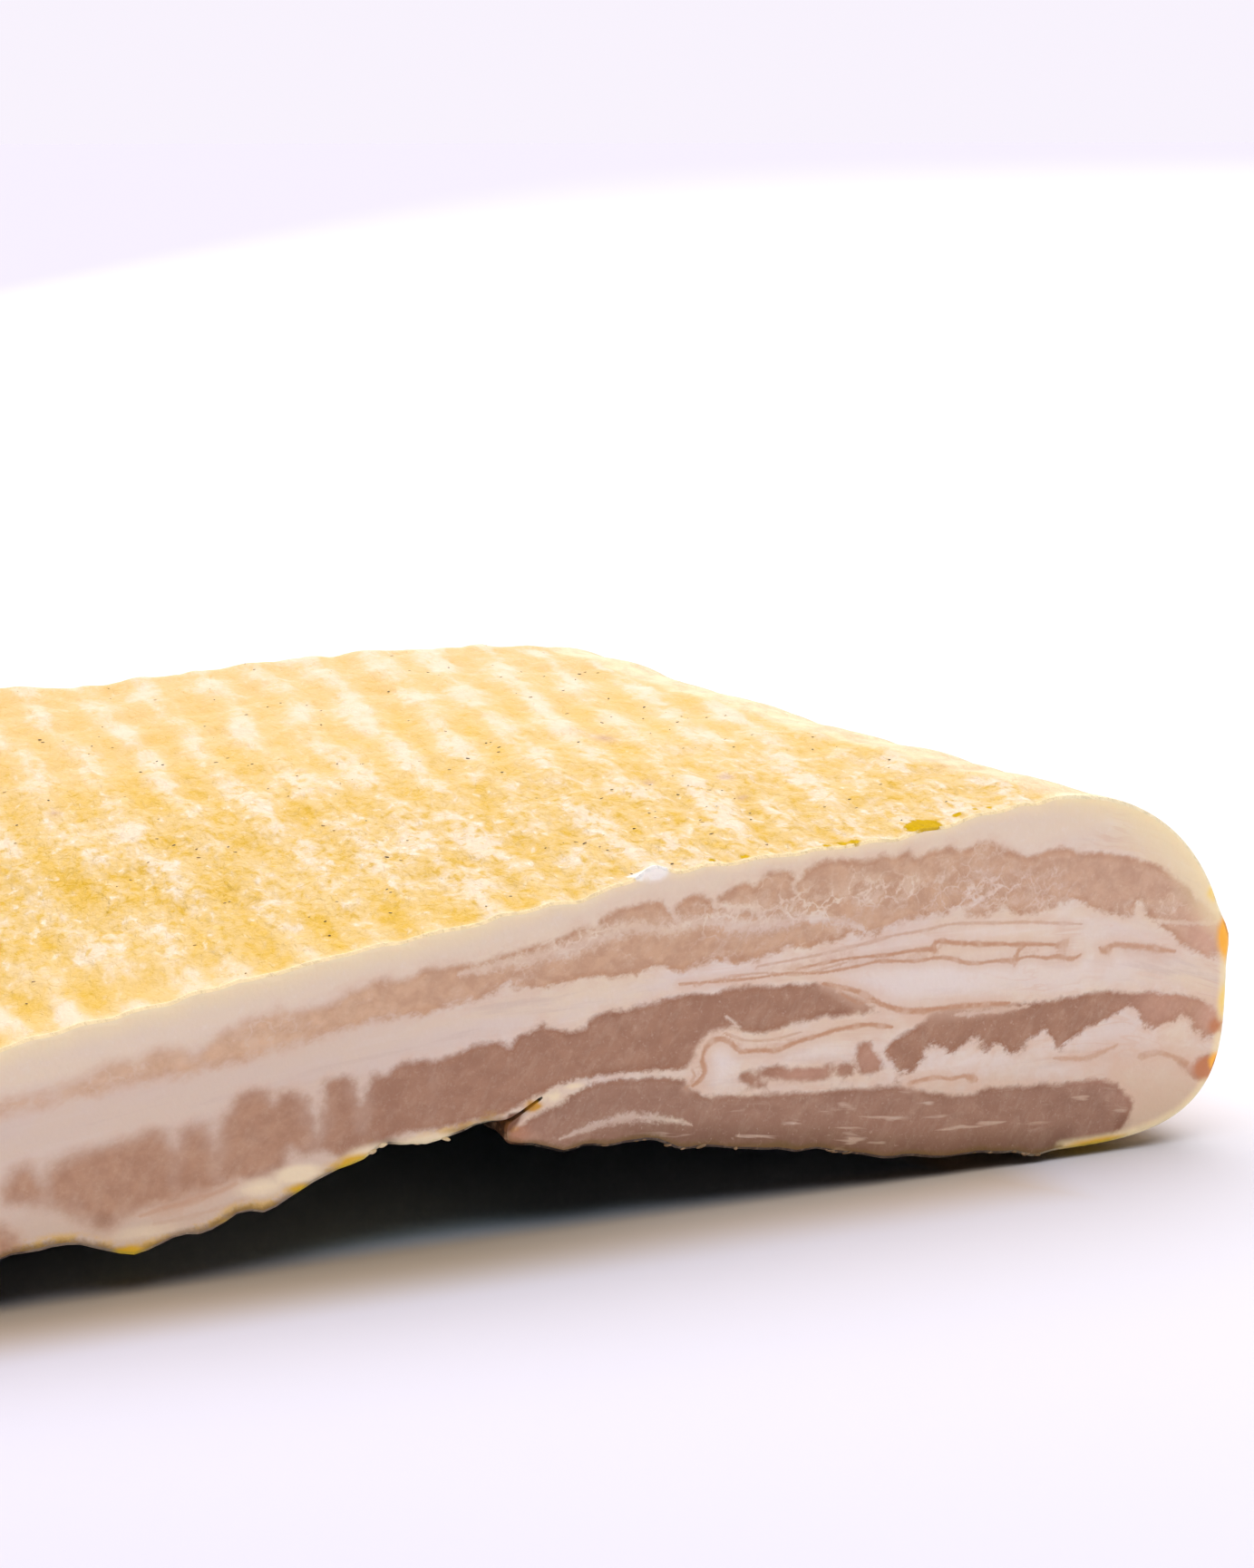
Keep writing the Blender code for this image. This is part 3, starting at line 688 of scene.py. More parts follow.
# Moist mustard spots where the rind meets the front cut, as (x, y, radius)
OLIVE_SPOTS = ((61.3, -63.8, 0.6), (62.9, -64.0, 0.7), (59.2, -64.2, 0.5), (70.8, -63.6, 0.9),
               (72.2, -62.8, 1.4), (73.4, -63.4, 1.0), (77.2, -62.6, 0.6), (79.4, -62.8, 0.5),
               (81.4, -62.8, 0.5), (48.6, -63.6, 0.6), (44.5, -63.6, 0.5), (-52.0, -63.6, 1.2))
SPOT_STRETCH = 1.7


class CutPattern:
    """Layers of lean and fat over the front cut, and what they say at any place of it."""

    FAR = 9.0
    THREAD_MARGIN = 0.12
    LINE_MARGIN = 0.07

    def __init__(self) -> None:
        """Makes the dense edges and lines once."""
        self.bands = [(band, band.loop()) for band in LEAN_BANDS.values()]
        self.threads = [streak.dense() for streak in FAT_THREADS]
        self.lines = [(streak, streak.dense()) for streak in BROWN_LINES]

    def fields(self, places: Array) -> dict[str, Array]:
        """The pattern at some places of the cut.

        Args:
            places: (n, 2) places as (x, z).

        Returns:
            lean, the depth in mm inside lean, negative in fat; tone, how dark the nearest lean is; fray, how
            ragged its edge is; lace, how much fine marbling it has; line, the distance from the nearest brown
            line in halves of its width; ink, how strongly that line shows; thread, the same distance from the
            nearest white thread; and the stains.
        """
        count = len(places)
        out = {"lean": np.full(count, -self.FAR), "tone": np.zeros(count), "fray": np.zeros(count),
               "lace": np.zeros(count), "line": np.full(count, self.FAR), "ink": np.zeros(count),
               "thread": np.full(count, self.FAR)}
        for band, loop in self.bands:
            gap, index, _ = segment_gap(places, loop, np.roll(loop, -1, axis=0))
            signed = np.where(within(places, loop), gap, -gap)
            deeper = signed > out["lean"]
            fray = np.where(index < len(band.upper), band.upper_fray, band.lower_fray)
            out["lean"][deeper] = signed[deeper]
            out["tone"][deeper] = band.tone
            out["fray"][deeper] = fray[deeper]
            out["lace"][deeper] = band.lace
        for dense in self.threads:
            gap, width = self.line_gap(places, dense)
            out["thread"] = np.minimum(out["thread"], gap / (0.5 * width + self.THREAD_MARGIN))
        for streak, dense in self.lines:
            gap, width = self.line_gap(places, dense)
            relative = gap / (0.5 * width + self.LINE_MARGIN)
            nearer = relative < out["line"]
            out["line"][nearer] = relative[nearer]
            out["ink"][nearer] = streak.ink
        x, z = places.T
        for tint, stains in STAINS.items():
            shares = [strength * np.exp(-((x - middle_x) / reach_x) ** 2 - ((z - middle_z) / reach_z) ** 2)
                      for middle_x, middle_z, reach_x, reach_z, strength in stains]
            out[tint.value] = np.max(shares, axis=0)
        return out

    @staticmethod
    def line_gap(places: Array, dense: Array) -> tuple[Array, Array]:
        """Distance of places from a line, and the line's width there."""
        gap, index, share = segment_gap(places, dense[:-1, :2], dense[1:, :2])
        width = dense[index, 2] + (dense[index + 1, 2] - dense[index, 2]) * share
        return gap, width

    def followers(self, step: float) -> Array:
        """Places along every line and on both its flanks, for mesh points that keep the lines sharp.

        Args:
            step: Gap between neighbours along a line.

        Returns:
            The (n, 2) places.
        """
        rows = []
        for dense in self.threads + [line for _, line in self.lines]:
            run = np.concatenate([[0.0], np.cumsum(np.hypot(*np.diff(dense[:, :2], axis=0).T))])
            at = np.arange(0.0, run[-1], step)
            course = np.stack([np.interp(at, run, dense[:, k]) for k in range(3)], axis=1)
            heading = np.gradient(course[:, :2], axis=0)
            heading /= np.maximum(np.hypot(*heading.T), 1e-9)[:, None]
            side = np.stack([-heading[:, 1], heading[:, 0]], axis=1)
            side *= 0.5 * course[:, 2:3] + self.THREAD_MARGIN
            rows += [course[:, :2], course[:, :2] + side, course[:, :2] - side]
        return np.vstack(rows)


def arithmetic(operation: str, reflected: bool = False) -> Callable[["Sock", Any], "Sock"]:
    """An operator of Sock that adds a Math node, with its two sides swapped where it is reflected."""
    def apply(self: "Sock", other: Any) -> "Sock":
        """The operator."""
        sides = (other, self) if reflected else (self, other)
        return self.net.math(operation, *sides)

    return apply


class Sock:
    """A number, colour or vector in a node tree. Arithmetic on it adds Math nodes."""

    def __init__(self, net: "Net", socket: bpy.types.NodeSocket | None) -> None:
        """Wraps an output socket of a tree."""
        self.net = net
        self.socket = socket

    __add__ = __radd__ = arithmetic("ADD")
    __mul__ = __rmul__ = arithmetic("MULTIPLY")
    __sub__ = arithmetic("SUBTRACT")
    __rsub__ = arithmetic("SUBTRACT", reflected=True)
    __truediv__ = arithmetic("DIVIDE")
    __rtruediv__ = arithmetic("DIVIDE", reflected=True)


class Net:
    """Makes the nodes of one tree."""

    def __init__(self, tree: bpy.types.NodeTree) -> None:
        """Wraps an empty tree."""
        self.tree = tree

    @classmethod
    def of(cls, owner: bpy.types.Material | bpy.types.World) -> "Net":
        """The emptied nodes of a material or a world."""
        owner.use_nodes = True
        owner.node_tree.nodes.clear()
        return cls(owner.node_tree)

    def add(self, kind: str, settings: dict[str, Any] | None = None, sockets: dict[Any, Any] | None = None,
            out: int | str = 0) -> Sock:
        """Adds a node.

        Args:
            kind: The node's type.
            settings: Its own settings, set first.
            sockets: Values or links of its input sockets by name or index.
            out: Name or index of the output to return.

        Returns:
            That output.
        """
        node = self.tree.nodes.new(kind)
        for name, value in (settings or {}).items():
            setattr(node, name, value)
        for key, value in (sockets or {}).items():
            if isinstance(value, Sock):
                self.tree.links.new(value.socket, node.inputs[key])
            else:
                node.inputs[key].default_value = value
        return Sock(self, node.outputs[out] if len(node.outputs) else None)

    def math(self, operation: str, *values: Any) -> Sock:
        """A Math node on sockets or numbers."""
        return self.add("ShaderNodeMath", {"operation": operation}, dict(enumerate(values)))

    def clamp(self, value: Sock) -> Sock:
        """Value held between 0 and 1."""
        return self.add("ShaderNodeClamp", None, {"Value": value})

    def step(self, value: Sock, low: float, high: float) -> Sock:
        """Smooth ramp from 0 at low to 1 at high; low may be the larger."""
        ends = (low, high, 0.0, 1.0) if low < high else (high, low, 1.0, 0.0)
        names = ("From Min", "From Max", "To Min", "To Max")
        return self.add("ShaderNodeMapRange", {"interpolation_type": "SMOOTHSTEP"},
                        {"Value": value, **dict(zip(names, ends))})

    def colours(self, share: Sock | float, first: Any, second: Any, blend: str = "MIX") -> Sock:
        """Colour from the first at share 0 to the second at share 1.

        Args:
            share: Share of the second colour.
            first: Colour or socket.
            second: Colour or socket.
            blend: Way of mixing them.

        Returns:
            The mixed colour.
        """
        def full(value: Any) -> Any:
            """A colour as the socket takes it."""
            return value if isinstance(value, Sock) else (*value, 1.0)

        return self.add("ShaderNodeMix", {"data_type": "RGBA", "blend_type": blend},
                        {0: share, 6: full(first), 7: full(second)}, 2)

    def paint(self, colour: Any, coats: Sequence[tuple[Any, ...]]) -> Sock:
        """A colour under its coats, each a share, a colour and, where it isn't a plain mix, the blend."""
        for share, *coat in coats:
            colour = self.colours(share, colour, *coat)
        return colour

    def attribute(self, name: str) -> Sock:
        """A number that the mesh holds at each point."""
        return self.add("ShaderNodeAttribute", {"attribute_name": name}, None, "Fac")

    def place(self, stretch: Triple = EVEN, shift: Triple = UNMOVED) -> Sock:
        """Place on the piece in millimetres, stretched along the axes and shifted."""
        coordinates = self.add("ShaderNodeTexCoord", None, None, "Object")
        scale = tuple(s / MM for s in stretch)
        return self.add("ShaderNodeMapping", None, {"Vector": coordinates, "Scale": scale, "Location": shift})

    def spot(self, axis: str) -> Sock:
        """Place along one axis in millimetres."""
        return self.add("ShaderNodeSeparateXYZ", None, {0: self.place()}, axis)

    def slanted(self, angle: float, size: Triple, shift: Triple = UNMOVED) -> Sock:
        """Place in millimetres, turned in the cut's plane and then shrunk by size along each axis."""
        coordinates = self.add("ShaderNodeTexCoord", None, None, "Object")
        return self.add("ShaderNodeMapping", {"vector_type": "TEXTURE"},
                        {"Vector": coordinates, "Rotation": (0.0, -math.radians(angle), 0.0),
                         "Scale": tuple(s * MM for s in size), "Location": tuple(s * MM for s in shift)})

    def flow(self, stretch: Triple, shift: Triple = UNMOVED) -> Sock:
        """Place in millimetres that follows the layers, stretched and shifted."""
        layers = self.add("ShaderNodeAttribute", {"attribute_name": "layers"}, None, "Vector")
        return self.add("ShaderNodeMapping", None, {"Vector": layers, "Scale": stretch, "Location": shift})

    def grain(self, place: Sock, scale: float, detail: float = 3.0, rough: float = 0.5,
              warp: float = 0.0, out: str = "Fac") -> Sock:
        """Noise from 0 to 1, where scale is the bumps for each millimetre."""
        return self.add("ShaderNodeTexNoise", None, {"Vector": place, "Scale": scale, "Detail": detail,
                                                     "Roughness": rough, "Distortion": warp}, out)

    def cells(self, place: Sock, scale: float, feature: str) -> Sock:
        """Voronoi distance, where scale is the cells for each millimetre."""
        return self.add("ShaderNodeTexVoronoi", {"feature": feature}, {"Vector": place, "Scale": scale})


@dataclass(frozen=True)
class Finish:
    """What every finish of the slab shares: its name and its constant gloss values."""

    name: str
    specular: float = 0.4
    subsurface: float = 0.0
    bump_depth: float = 0.25

    def material(self) -> bpy.types.Material:
        """The finished material.

        Returns:
            The new material.
        """
        material = bpy.data.materials.new(self.name)
        net = Net.of(material)
        sockets = self.dress(net)
        height = sockets.pop("Height")
        sockets["Normal"] = net.add("ShaderNodeBump", None, {"Strength": 1.0, "Distance": self.bump_depth * MM,
                                                             "Height": height})
        constants = {"Specular IOR Level": self.specular, "Subsurface Weight": self.subsurface,
                     "Subsurface Radius": (1.0, 0.5, 0.3), "Subsurface Scale": 2.0 * MM}
        shader = net.add("ShaderNodeBsdfPrincipled", None, {**constants, **sockets})
        net.add("ShaderNodeOutputMaterial", None, {"Surface": shader})
        return material

    def dress(self, net: Net) -> dict[str, Sock]:
        """Sockets of the shader that vary over the surface, and the bump's Height."""
        raise NotImplementedError

    @staticmethod
    def stained(net: Net, colour: Sock, stains: Sequence[tuple[Tint, Colour]], uneven: Sock,
                cover: Sock | float) -> Sock:
        """A colour with stains over it, the lowest first, with uneven outlines and a highest cover."""
        return net.paint(colour, [(net.step(net.attribute(tint.value) + uneven, 0.15, 0.75) * cover, ink)
                                  for tint, ink in stains])


class CutGrains:
    """The noises and the places that several of the cut's colours share."""

    def __init__(self, net: Net) -> None:
        """Makes their nodes."""
        self.net = net
        self.fine = net.grain(net.place((1.0, 0.6, 1.0)), 1.5, 5.0, 0.66, 0.4)
        self.tufts = net.grain(net.slanted(28.0, (2.2, 1.6, 0.8)), 0.85, 4.0, 0.62, 0.8)
        self.lobes = net.grain(net.place((1.0, 0.6, 1.0), (4.0, 0.0, 1.0)), 0.42, 2.0)
        self.torn = net.grain(net.place(EVEN, (7.0, 0.0, 2.0)), 0.15, 2.0)
        self.cloud = net.grain(net.flow((0.35, 0.35, 1.0), (2.0, 9.0, 4.0)), 0.16, 4.0, 0.6, 0.5)
        self.blotch = net.grain(net.place((0.8, 0.6, 1.0), (0.0, 3.0, 0.0)), 0.42, 4.0, 0.62, 0.3)
        self.dashed = net.grain(net.flow((0.8, 0.8, 0.8)), 0.5, 3.0, 0.6)
        self.x, self.z = net.spot("X"), net.spot("Z")

    def along(self, start: float, stop: float) -> Sock:
        """Ramp from 0 to 1 between two places along X in millimetres."""
        return self.net.step(self.x, start, stop)

    def up(self, start: float, stop: float) -> Sock:
        """Ramp from 0 to 1 between two heights in millimetres."""
        return self.net.step(self.z, start, stop)


@dataclass(frozen=True)
class CutFinish(Finish):
    """The knife-cut faces: moist fat and lean, with browned lines and a coloured rim."""

    fat_cool: Colour = (0.73, 0.595, 0.525)
    fat_warm: Colour = (0.77, 0.61, 0.455)
    fat_gold: Colour = (0.80, 0.605, 0.375)
    fat_grey: Colour = (0.63, 0.475, 0.40)
    fat_bright: Colour = (0.80, 0.68, 0.60)
    fat_dusk: Colour = (0.65, 0.495, 0.40)
    fat_low: Colour = (0.58, 0.41, 0.275)
    lean_pale: Colour = (0.61, 0.375, 0.25)
    lean_tan: Colour = (0.62, 0.375, 0.225)
    lean_left: Colour = (0.73, 0.48, 0.30)
    lean_dark: Colour = (0.395, 0.205, 0.125)
    lean_flap: Colour = (0.37, 0.20, 0.13)
    lean_light: Colour = (0.60, 0.35, 0.21)
    lean_edge: Colour = (0.86, 0.74, 0.64)
    flap_shade: Colour = (0.80, 0.76, 0.74)
    blotch_shade: Colour = (0.80, 0.74, 0.72)
    under_shade: Colour = (0.50, 0.43, 0.34)
    blush: Colour = (0.66, 0.36, 0.26)
    beige: Colour = (0.69, 0.465, 0.34)
    line_brown: Colour = (0.53, 0.275, 0.155)
    rim_gold: Colour = (0.87, 0.71, 0.42)
    rim_brown: Colour = (0.17, 0.095, 0.025)
    orange: Colour = (1.0, 0.46, 0.03)
    amber: Colour = (0.60, 0.28, 0.01)
    russet: Colour = (0.53, 0.19, 0.075)
    yellow: Colour = (0.95, 0.66, 0.16)
    brown: Colour = (0.17, 0.06, 0.025)
    gold: Colour = (0.70, 0.40, 0.01)
    cream: Colour = (0.86, 0.70, 0.48)
    white: Colour = (0.80, 0.69, 0.635)
    scrap: Colour = (0.90, 0.84, 0.78)

    def meat(self, net: Net, n: CutGrains) -> Sock:
        """Share of lean, whose edge is frayed, and softer towards the thin end.

        Args:
            net: The material's nodes.
            n: The cut's shared noises and places.

        Returns:
            The share, from 0 to 1.
        """
        fray = net.attribute("fray")
        ragged = ((n.fine - 0.5) * (0.9 + 0.9 * fray) + (n.tufts - 0.5) * (1.7 * fray)
                  + (n.lobes - 0.5) * (0.9 + 1.2 * fray))
        depth = (net.attribute("lean") + ragged) / (1.0 + 2.2 * n.along(25.0, -35.0))
        return net.step(depth, -0.46, 0.52) * (1.0 - self.marbling(net, n))

    def marbling(self, net: Net, n: CutGrains) -> Sock:
        """Share of fat in the lean: clouds, seams and hairs in the upper lean, threads, specks and dashes.

        Args:
            net: The material's nodes.
            n: The cut's shared noises and places.

        Returns:
            The share, from 0 to 1.
        """
        tone = net.attribute("tone")
        cloud_grain = net.grain(net.slanted(30.0, (1.5, 1.0, 1.0), (3.0, 0.0, 0.0)), 0.5, 5.0, 0.66, 0.4)
        clouds = net.step(cloud_grain, 0.46, 0.59)
        curls = net.grain(net.slanted(34.0, (2.0, 1.5, 1.0), (5.0, 0.0, 9.0)), 0.26, 2.0, 0.5, 1.6)
        branches = net.step(net.math("ABSOLUTE", curls - 0.5), 0.05, 0.0)
        warp = net.grain(net.place(EVEN, (2.0, 2.0, 0.0)), 0.5, out="Color")
        slant = net.slanted(30.0, (1.3, 1.0, 1.0), (1.0, 0.0, 2.0))
        bent = net.add("ShaderNodeVectorMath", {"operation": "MULTIPLY_ADD"},
                       {0: warp, 1: (3.4, 3.4, 3.4), 2: slant})
        seams = net.step(net.cells(bent, 0.42, "DISTANCE_TO_EDGE"), 0.11, 0.0) * net.step(n.fine, 0.30, 0.55)
        hair_grain = net.grain(net.slanted(26.0, (0.3, 1.0, 1.7), (1.0, 0.0, 6.0)), 0.9, 3.0, 0.6, 0.3)
        hairs = net.step(hair_grain, 0.56, 0.70) * n.along(60.0, 76.0)
        where = net.attribute("cloudy") + 0.45 * net.step(n.torn + (n.tufts - 0.5) * 0.5, 0.46, 0.66)
        white = (clouds * 0.5 + seams * 0.85 + branches * 0.05 + hairs * 0.45) * where * net.attribute("lace")
        specks = net.step(net.grain(net.place((1.0, 0.7, 1.0), (2.0, 0.0, 5.0)), 1.9, 1.0), 0.66, 0.80)
        specks = specks * (0.08 + 0.14 * n.along(10.0, 40.0))
        dashes = net.step(net.grain(net.flow((0.16, 0.5, 1.25)), 0.95, 2.0, 0.5, 0.3), 0.585, 0.70)
        in_flap = net.step(tone, 1.05, 1.15) * n.up(3.5, 6.5) * n.up(14.0, 10.5) * n.along(30.0, 44.0)
        threads = net.step(net.attribute("thread") + (n.fine - 0.5) * 4.2, 1.7, 0.1)
        threads = threads * (0.7 - 0.22 * n.along(18.0, -8.0))
        inside = net.step(net.attribute("lean"), 0.15, 0.9)
        return net.clamp(white + threads + inside * (specks + dashes * in_flap * 0.55))

    def fat(self, net: Net, n: CutGrains) -> Sock:
        """Fat: yellower under the rind, streaked along the layers, duller towards the thin end and below.

        Args:
            net: The material's nodes.
            n: The cut's shared noises and places.

        Returns:
            The fat's colour.
        """
        strands = net.grain(net.flow((0.09, 0.2, 1.0), (1.0, 4.0, 2.0)), 0.62, 4.0, 0.62, 0.35)
        wisps = net.grain(net.flow((0.14, 0.2, 0.9), (6.0, 1.0, 3.0)), 0.45, 3.0, 0.55, 0.9)
        rind_gap = net.attribute("rim_rind")
        inner = net.step(rind_gap, 3.0, 9.0)
        wisp = net.step(net.math("ABSOLUTE", wisps - 0.5), 0.04, 0.0) * net.step(n.torn, 0.42, 0.58) * inner
        pinkish = net.step(n.blotch * 0.5 + n.cloud * 0.5, 0.42, 0.60) * n.up(24.0, 15.0)
        halo = net.step(net.attribute("lean") + (n.tufts - 0.5) * 2.0, -1.9, -0.1)
        return net.paint(self.fat_cool, [
            (net.step(n.cloud, 0.34, 0.66), self.fat_warm),
            (net.step(rind_gap, 10.0, 2.0) * 0.8, self.fat_warm),
            (n.along(90.0, 103.0) * n.up(30.0, 37.0) * 0.6, self.fat_gold),
            (net.step(strands, 0.47, 0.30) * 0.65 * inner, self.fat_grey),
            (net.step(strands, 0.56, 0.70) * 0.5 * inner, self.fat_bright),
            (net.step(n.fine, 0.52, 0.70) * 0.30, self.fat_bright),
            (wisp * n.along(30.0, 55.0) * 0.55, self.beige),
            (n.along(36.0, -8.0) * 0.7 * inner, self.fat_dusk),
            (net.attribute("white") * (0.5 + 0.6 * n.fine), self.white),
            (pinkish * n.along(52.0, 84.0) * 0.55, self.beige),
            (n.up(17.0, 3.0) * 0.7, self.fat_low),
            (halo * 0.42 * net.step(n.blotch, 0.36, 0.6), self.beige),
            (net.attribute("blush") * (0.2 + 0.8 * n.blotch), self.beige),
        ])

    def muscle(self, net: Net, n: CutGrains) -> Sock:
        """Lean: paler above, darker in the flap and along its own edges, with soft fibres and blotches.

        Args:
            net: The material's nodes.
            n: The cut's shared noises and places.

        Returns:
            The lean's colour.
        """
        tone = net.attribute("tone")
        upper = net.step(tone, 0.98, 0.93)
        flap = net.step(tone, 1.05, 1.2)
        pale = n.along(8.0, -14.0) * 0.42 + n.along(100.0, 114.0) * 0.5
        fibres = net.grain(net.slanted(62.0, (2.4, 1.0, 0.9)), 0.7, 3.0, 0.6, 0.5)
        outline = net.step(net.attribute("lean") + (n.fine - 0.5) * 0.8, 1.1, 0.1)
        low = net.step(net.attribute("rim_underside") + (n.blotch - 0.5) * 3.0, 4.2, 0.2) * n.along(22.0, 44.0)
        return net.paint(self.lean_pale, [
            (net.step(tone, 0.0, 1.0), self.lean_dark),
            (flap, self.lean_flap),
            (n.along(98.0, 72.0) * upper * 0.55, self.lean_tan),
            (n.along(20.0, -12.0) * upper * 0.6, self.lean_left),
            (pale * (1.0 - upper), self.lean_light),
            (flap * n.along(82.0, 95.0) * 0.5, self.flap_shade, "MULTIPLY"),
            (net.step(n.blotch, 0.34, 0.66) * 0.75, self.blotch_shade, "MULTIPLY"),
            (net.step(fibres, 0.46, 0.68) * 0.08, self.fat_warm),
            (net.step(n.fine, 0.50, 0.74) * 0.13, self.fat_warm),
            (outline * 0.7, self.lean_edge, "MULTIPLY"),
            (net.attribute("blush") * 0.75, self.blush),
            (low * 0.8, self.under_shade, "MULTIPLY"),
        ])

    def lines(self, net: Net, n: CutGrains, colour: Sock) -> Sock:
        """Thin broken brown lines with a beige tint beside them, and pale seams where the ink is negative.

        Args:
            net: The material's nodes.
            n: The cut's shared noises and places.
            colour: The colour under them.

        Returns:
            The colour with them.
        """
        ink = net.attribute("ink")
        gap = net.attribute("line") + (n.fine - 0.5) * 1.5 + (n.dashed - 0.5) * 2.4
        dark = net.clamp(ink)
        core = net.step(gap, 1.6, 0.3) * (0.45 + 0.55 * net.step(n.dashed, 0.30, 0.55))
        return net.paint(colour, [
            (net.step(gap, 6.5, 0.5) * dark * 0.55, self.beige),
            (core * dark * 0.95, self.line_brown),
            (net.step(gap, 3.6, 0.4) * net.clamp(ink * -0.55), self.fat_dusk),
        ])

    def rim(self, net: Net, n: CutGrains, colour: Sock) -> Sock:
        """The dried rim: pale gold under the rind, wider round the thick end, and brown along the underside.

        Args:
            net: The material's nodes.
            n: The cut's shared noises and places.
            colour: The colour inside it.

        Returns:
            The colour with its rim and stains.
        """
        uneven = (n.cloud - 0.5) * 1.6 + (n.fine - 0.5) * 0.8
        crown = net.math("MINIMUM", net.attribute("rim_rind"), net.attribute("rim_thick_end"))
        wide = n.along(80.0, 106.0) * n.up(24.0, 32.0)
        soft = n.along(34.0, 8.0)
        edge = net.step((crown + uneven * 0.4) / (1.0 + 2.8 * wide + 1.1 * soft), 1.4, 0.0)
        skin = net.step(net.attribute("rim_thick_end") + uneven * 0.5, 1.2, 0.1)
        under = net.attribute("rim_underside")
        patchy = net.step(n.torn + (n.blotch - 0.5) * 0.8, 0.50, 0.66) * n.along(26.0, 10.0)
        bare = 1.0 - net.clamp(net.attribute("cream") * 1.2)
        colour = net.paint(colour, [
            (edge * (0.42 + 0.34 * wide + 0.2 * soft), self.rim_gold),
            (skin * 0.6, self.rim_gold),
            (net.step(under + uneven * 0.8, 1.6, 0.4) * patchy * 0.65, self.gold),
            (net.step(under + uneven * 0.9, 0.9, 0.0) * 0.8 * bare, self.rim_brown),
        ])
        stains = [(Tint.CREAM, self.cream), (Tint.RUSSET, self.russet), (Tint.YELLOW, self.yellow),
                  (Tint.ORANGE, self.orange), (Tint.GOLD, self.gold), (Tint.AMBER, self.amber),
                  (Tint.BROWN, self.brown), (Tint.SCRAP, self.scrap)]
        return self.stained(net, colour, stains, uneven * 0.16, 0.95)

    def dress(self, net: Net) -> dict[str, Sock]:
        """Layers of lean and fat from the mesh's fields, frayed and marbled by noise.

        Args:
            net: The material's nodes.

        Returns:
            The shader's sockets by name, and the bump's Height.
        """
        n = CutGrains(net)
        meat = self.meat(net, n)
        colour = net.colours(meat, self.fat(net, n), self.muscle(net, n))
        colour = self.rim(net, n, self.lines(net, n, colour))
        relief = net.grain(net.place(), 1.6, 3.0, 0.6) * 0.6 + meat * -0.30
        gloss = 0.42 + (n.fine - 0.5) * 0.2 - 0.04 * meat
        return {"Base Color": colour, "Roughness": gloss, "Height": relief}


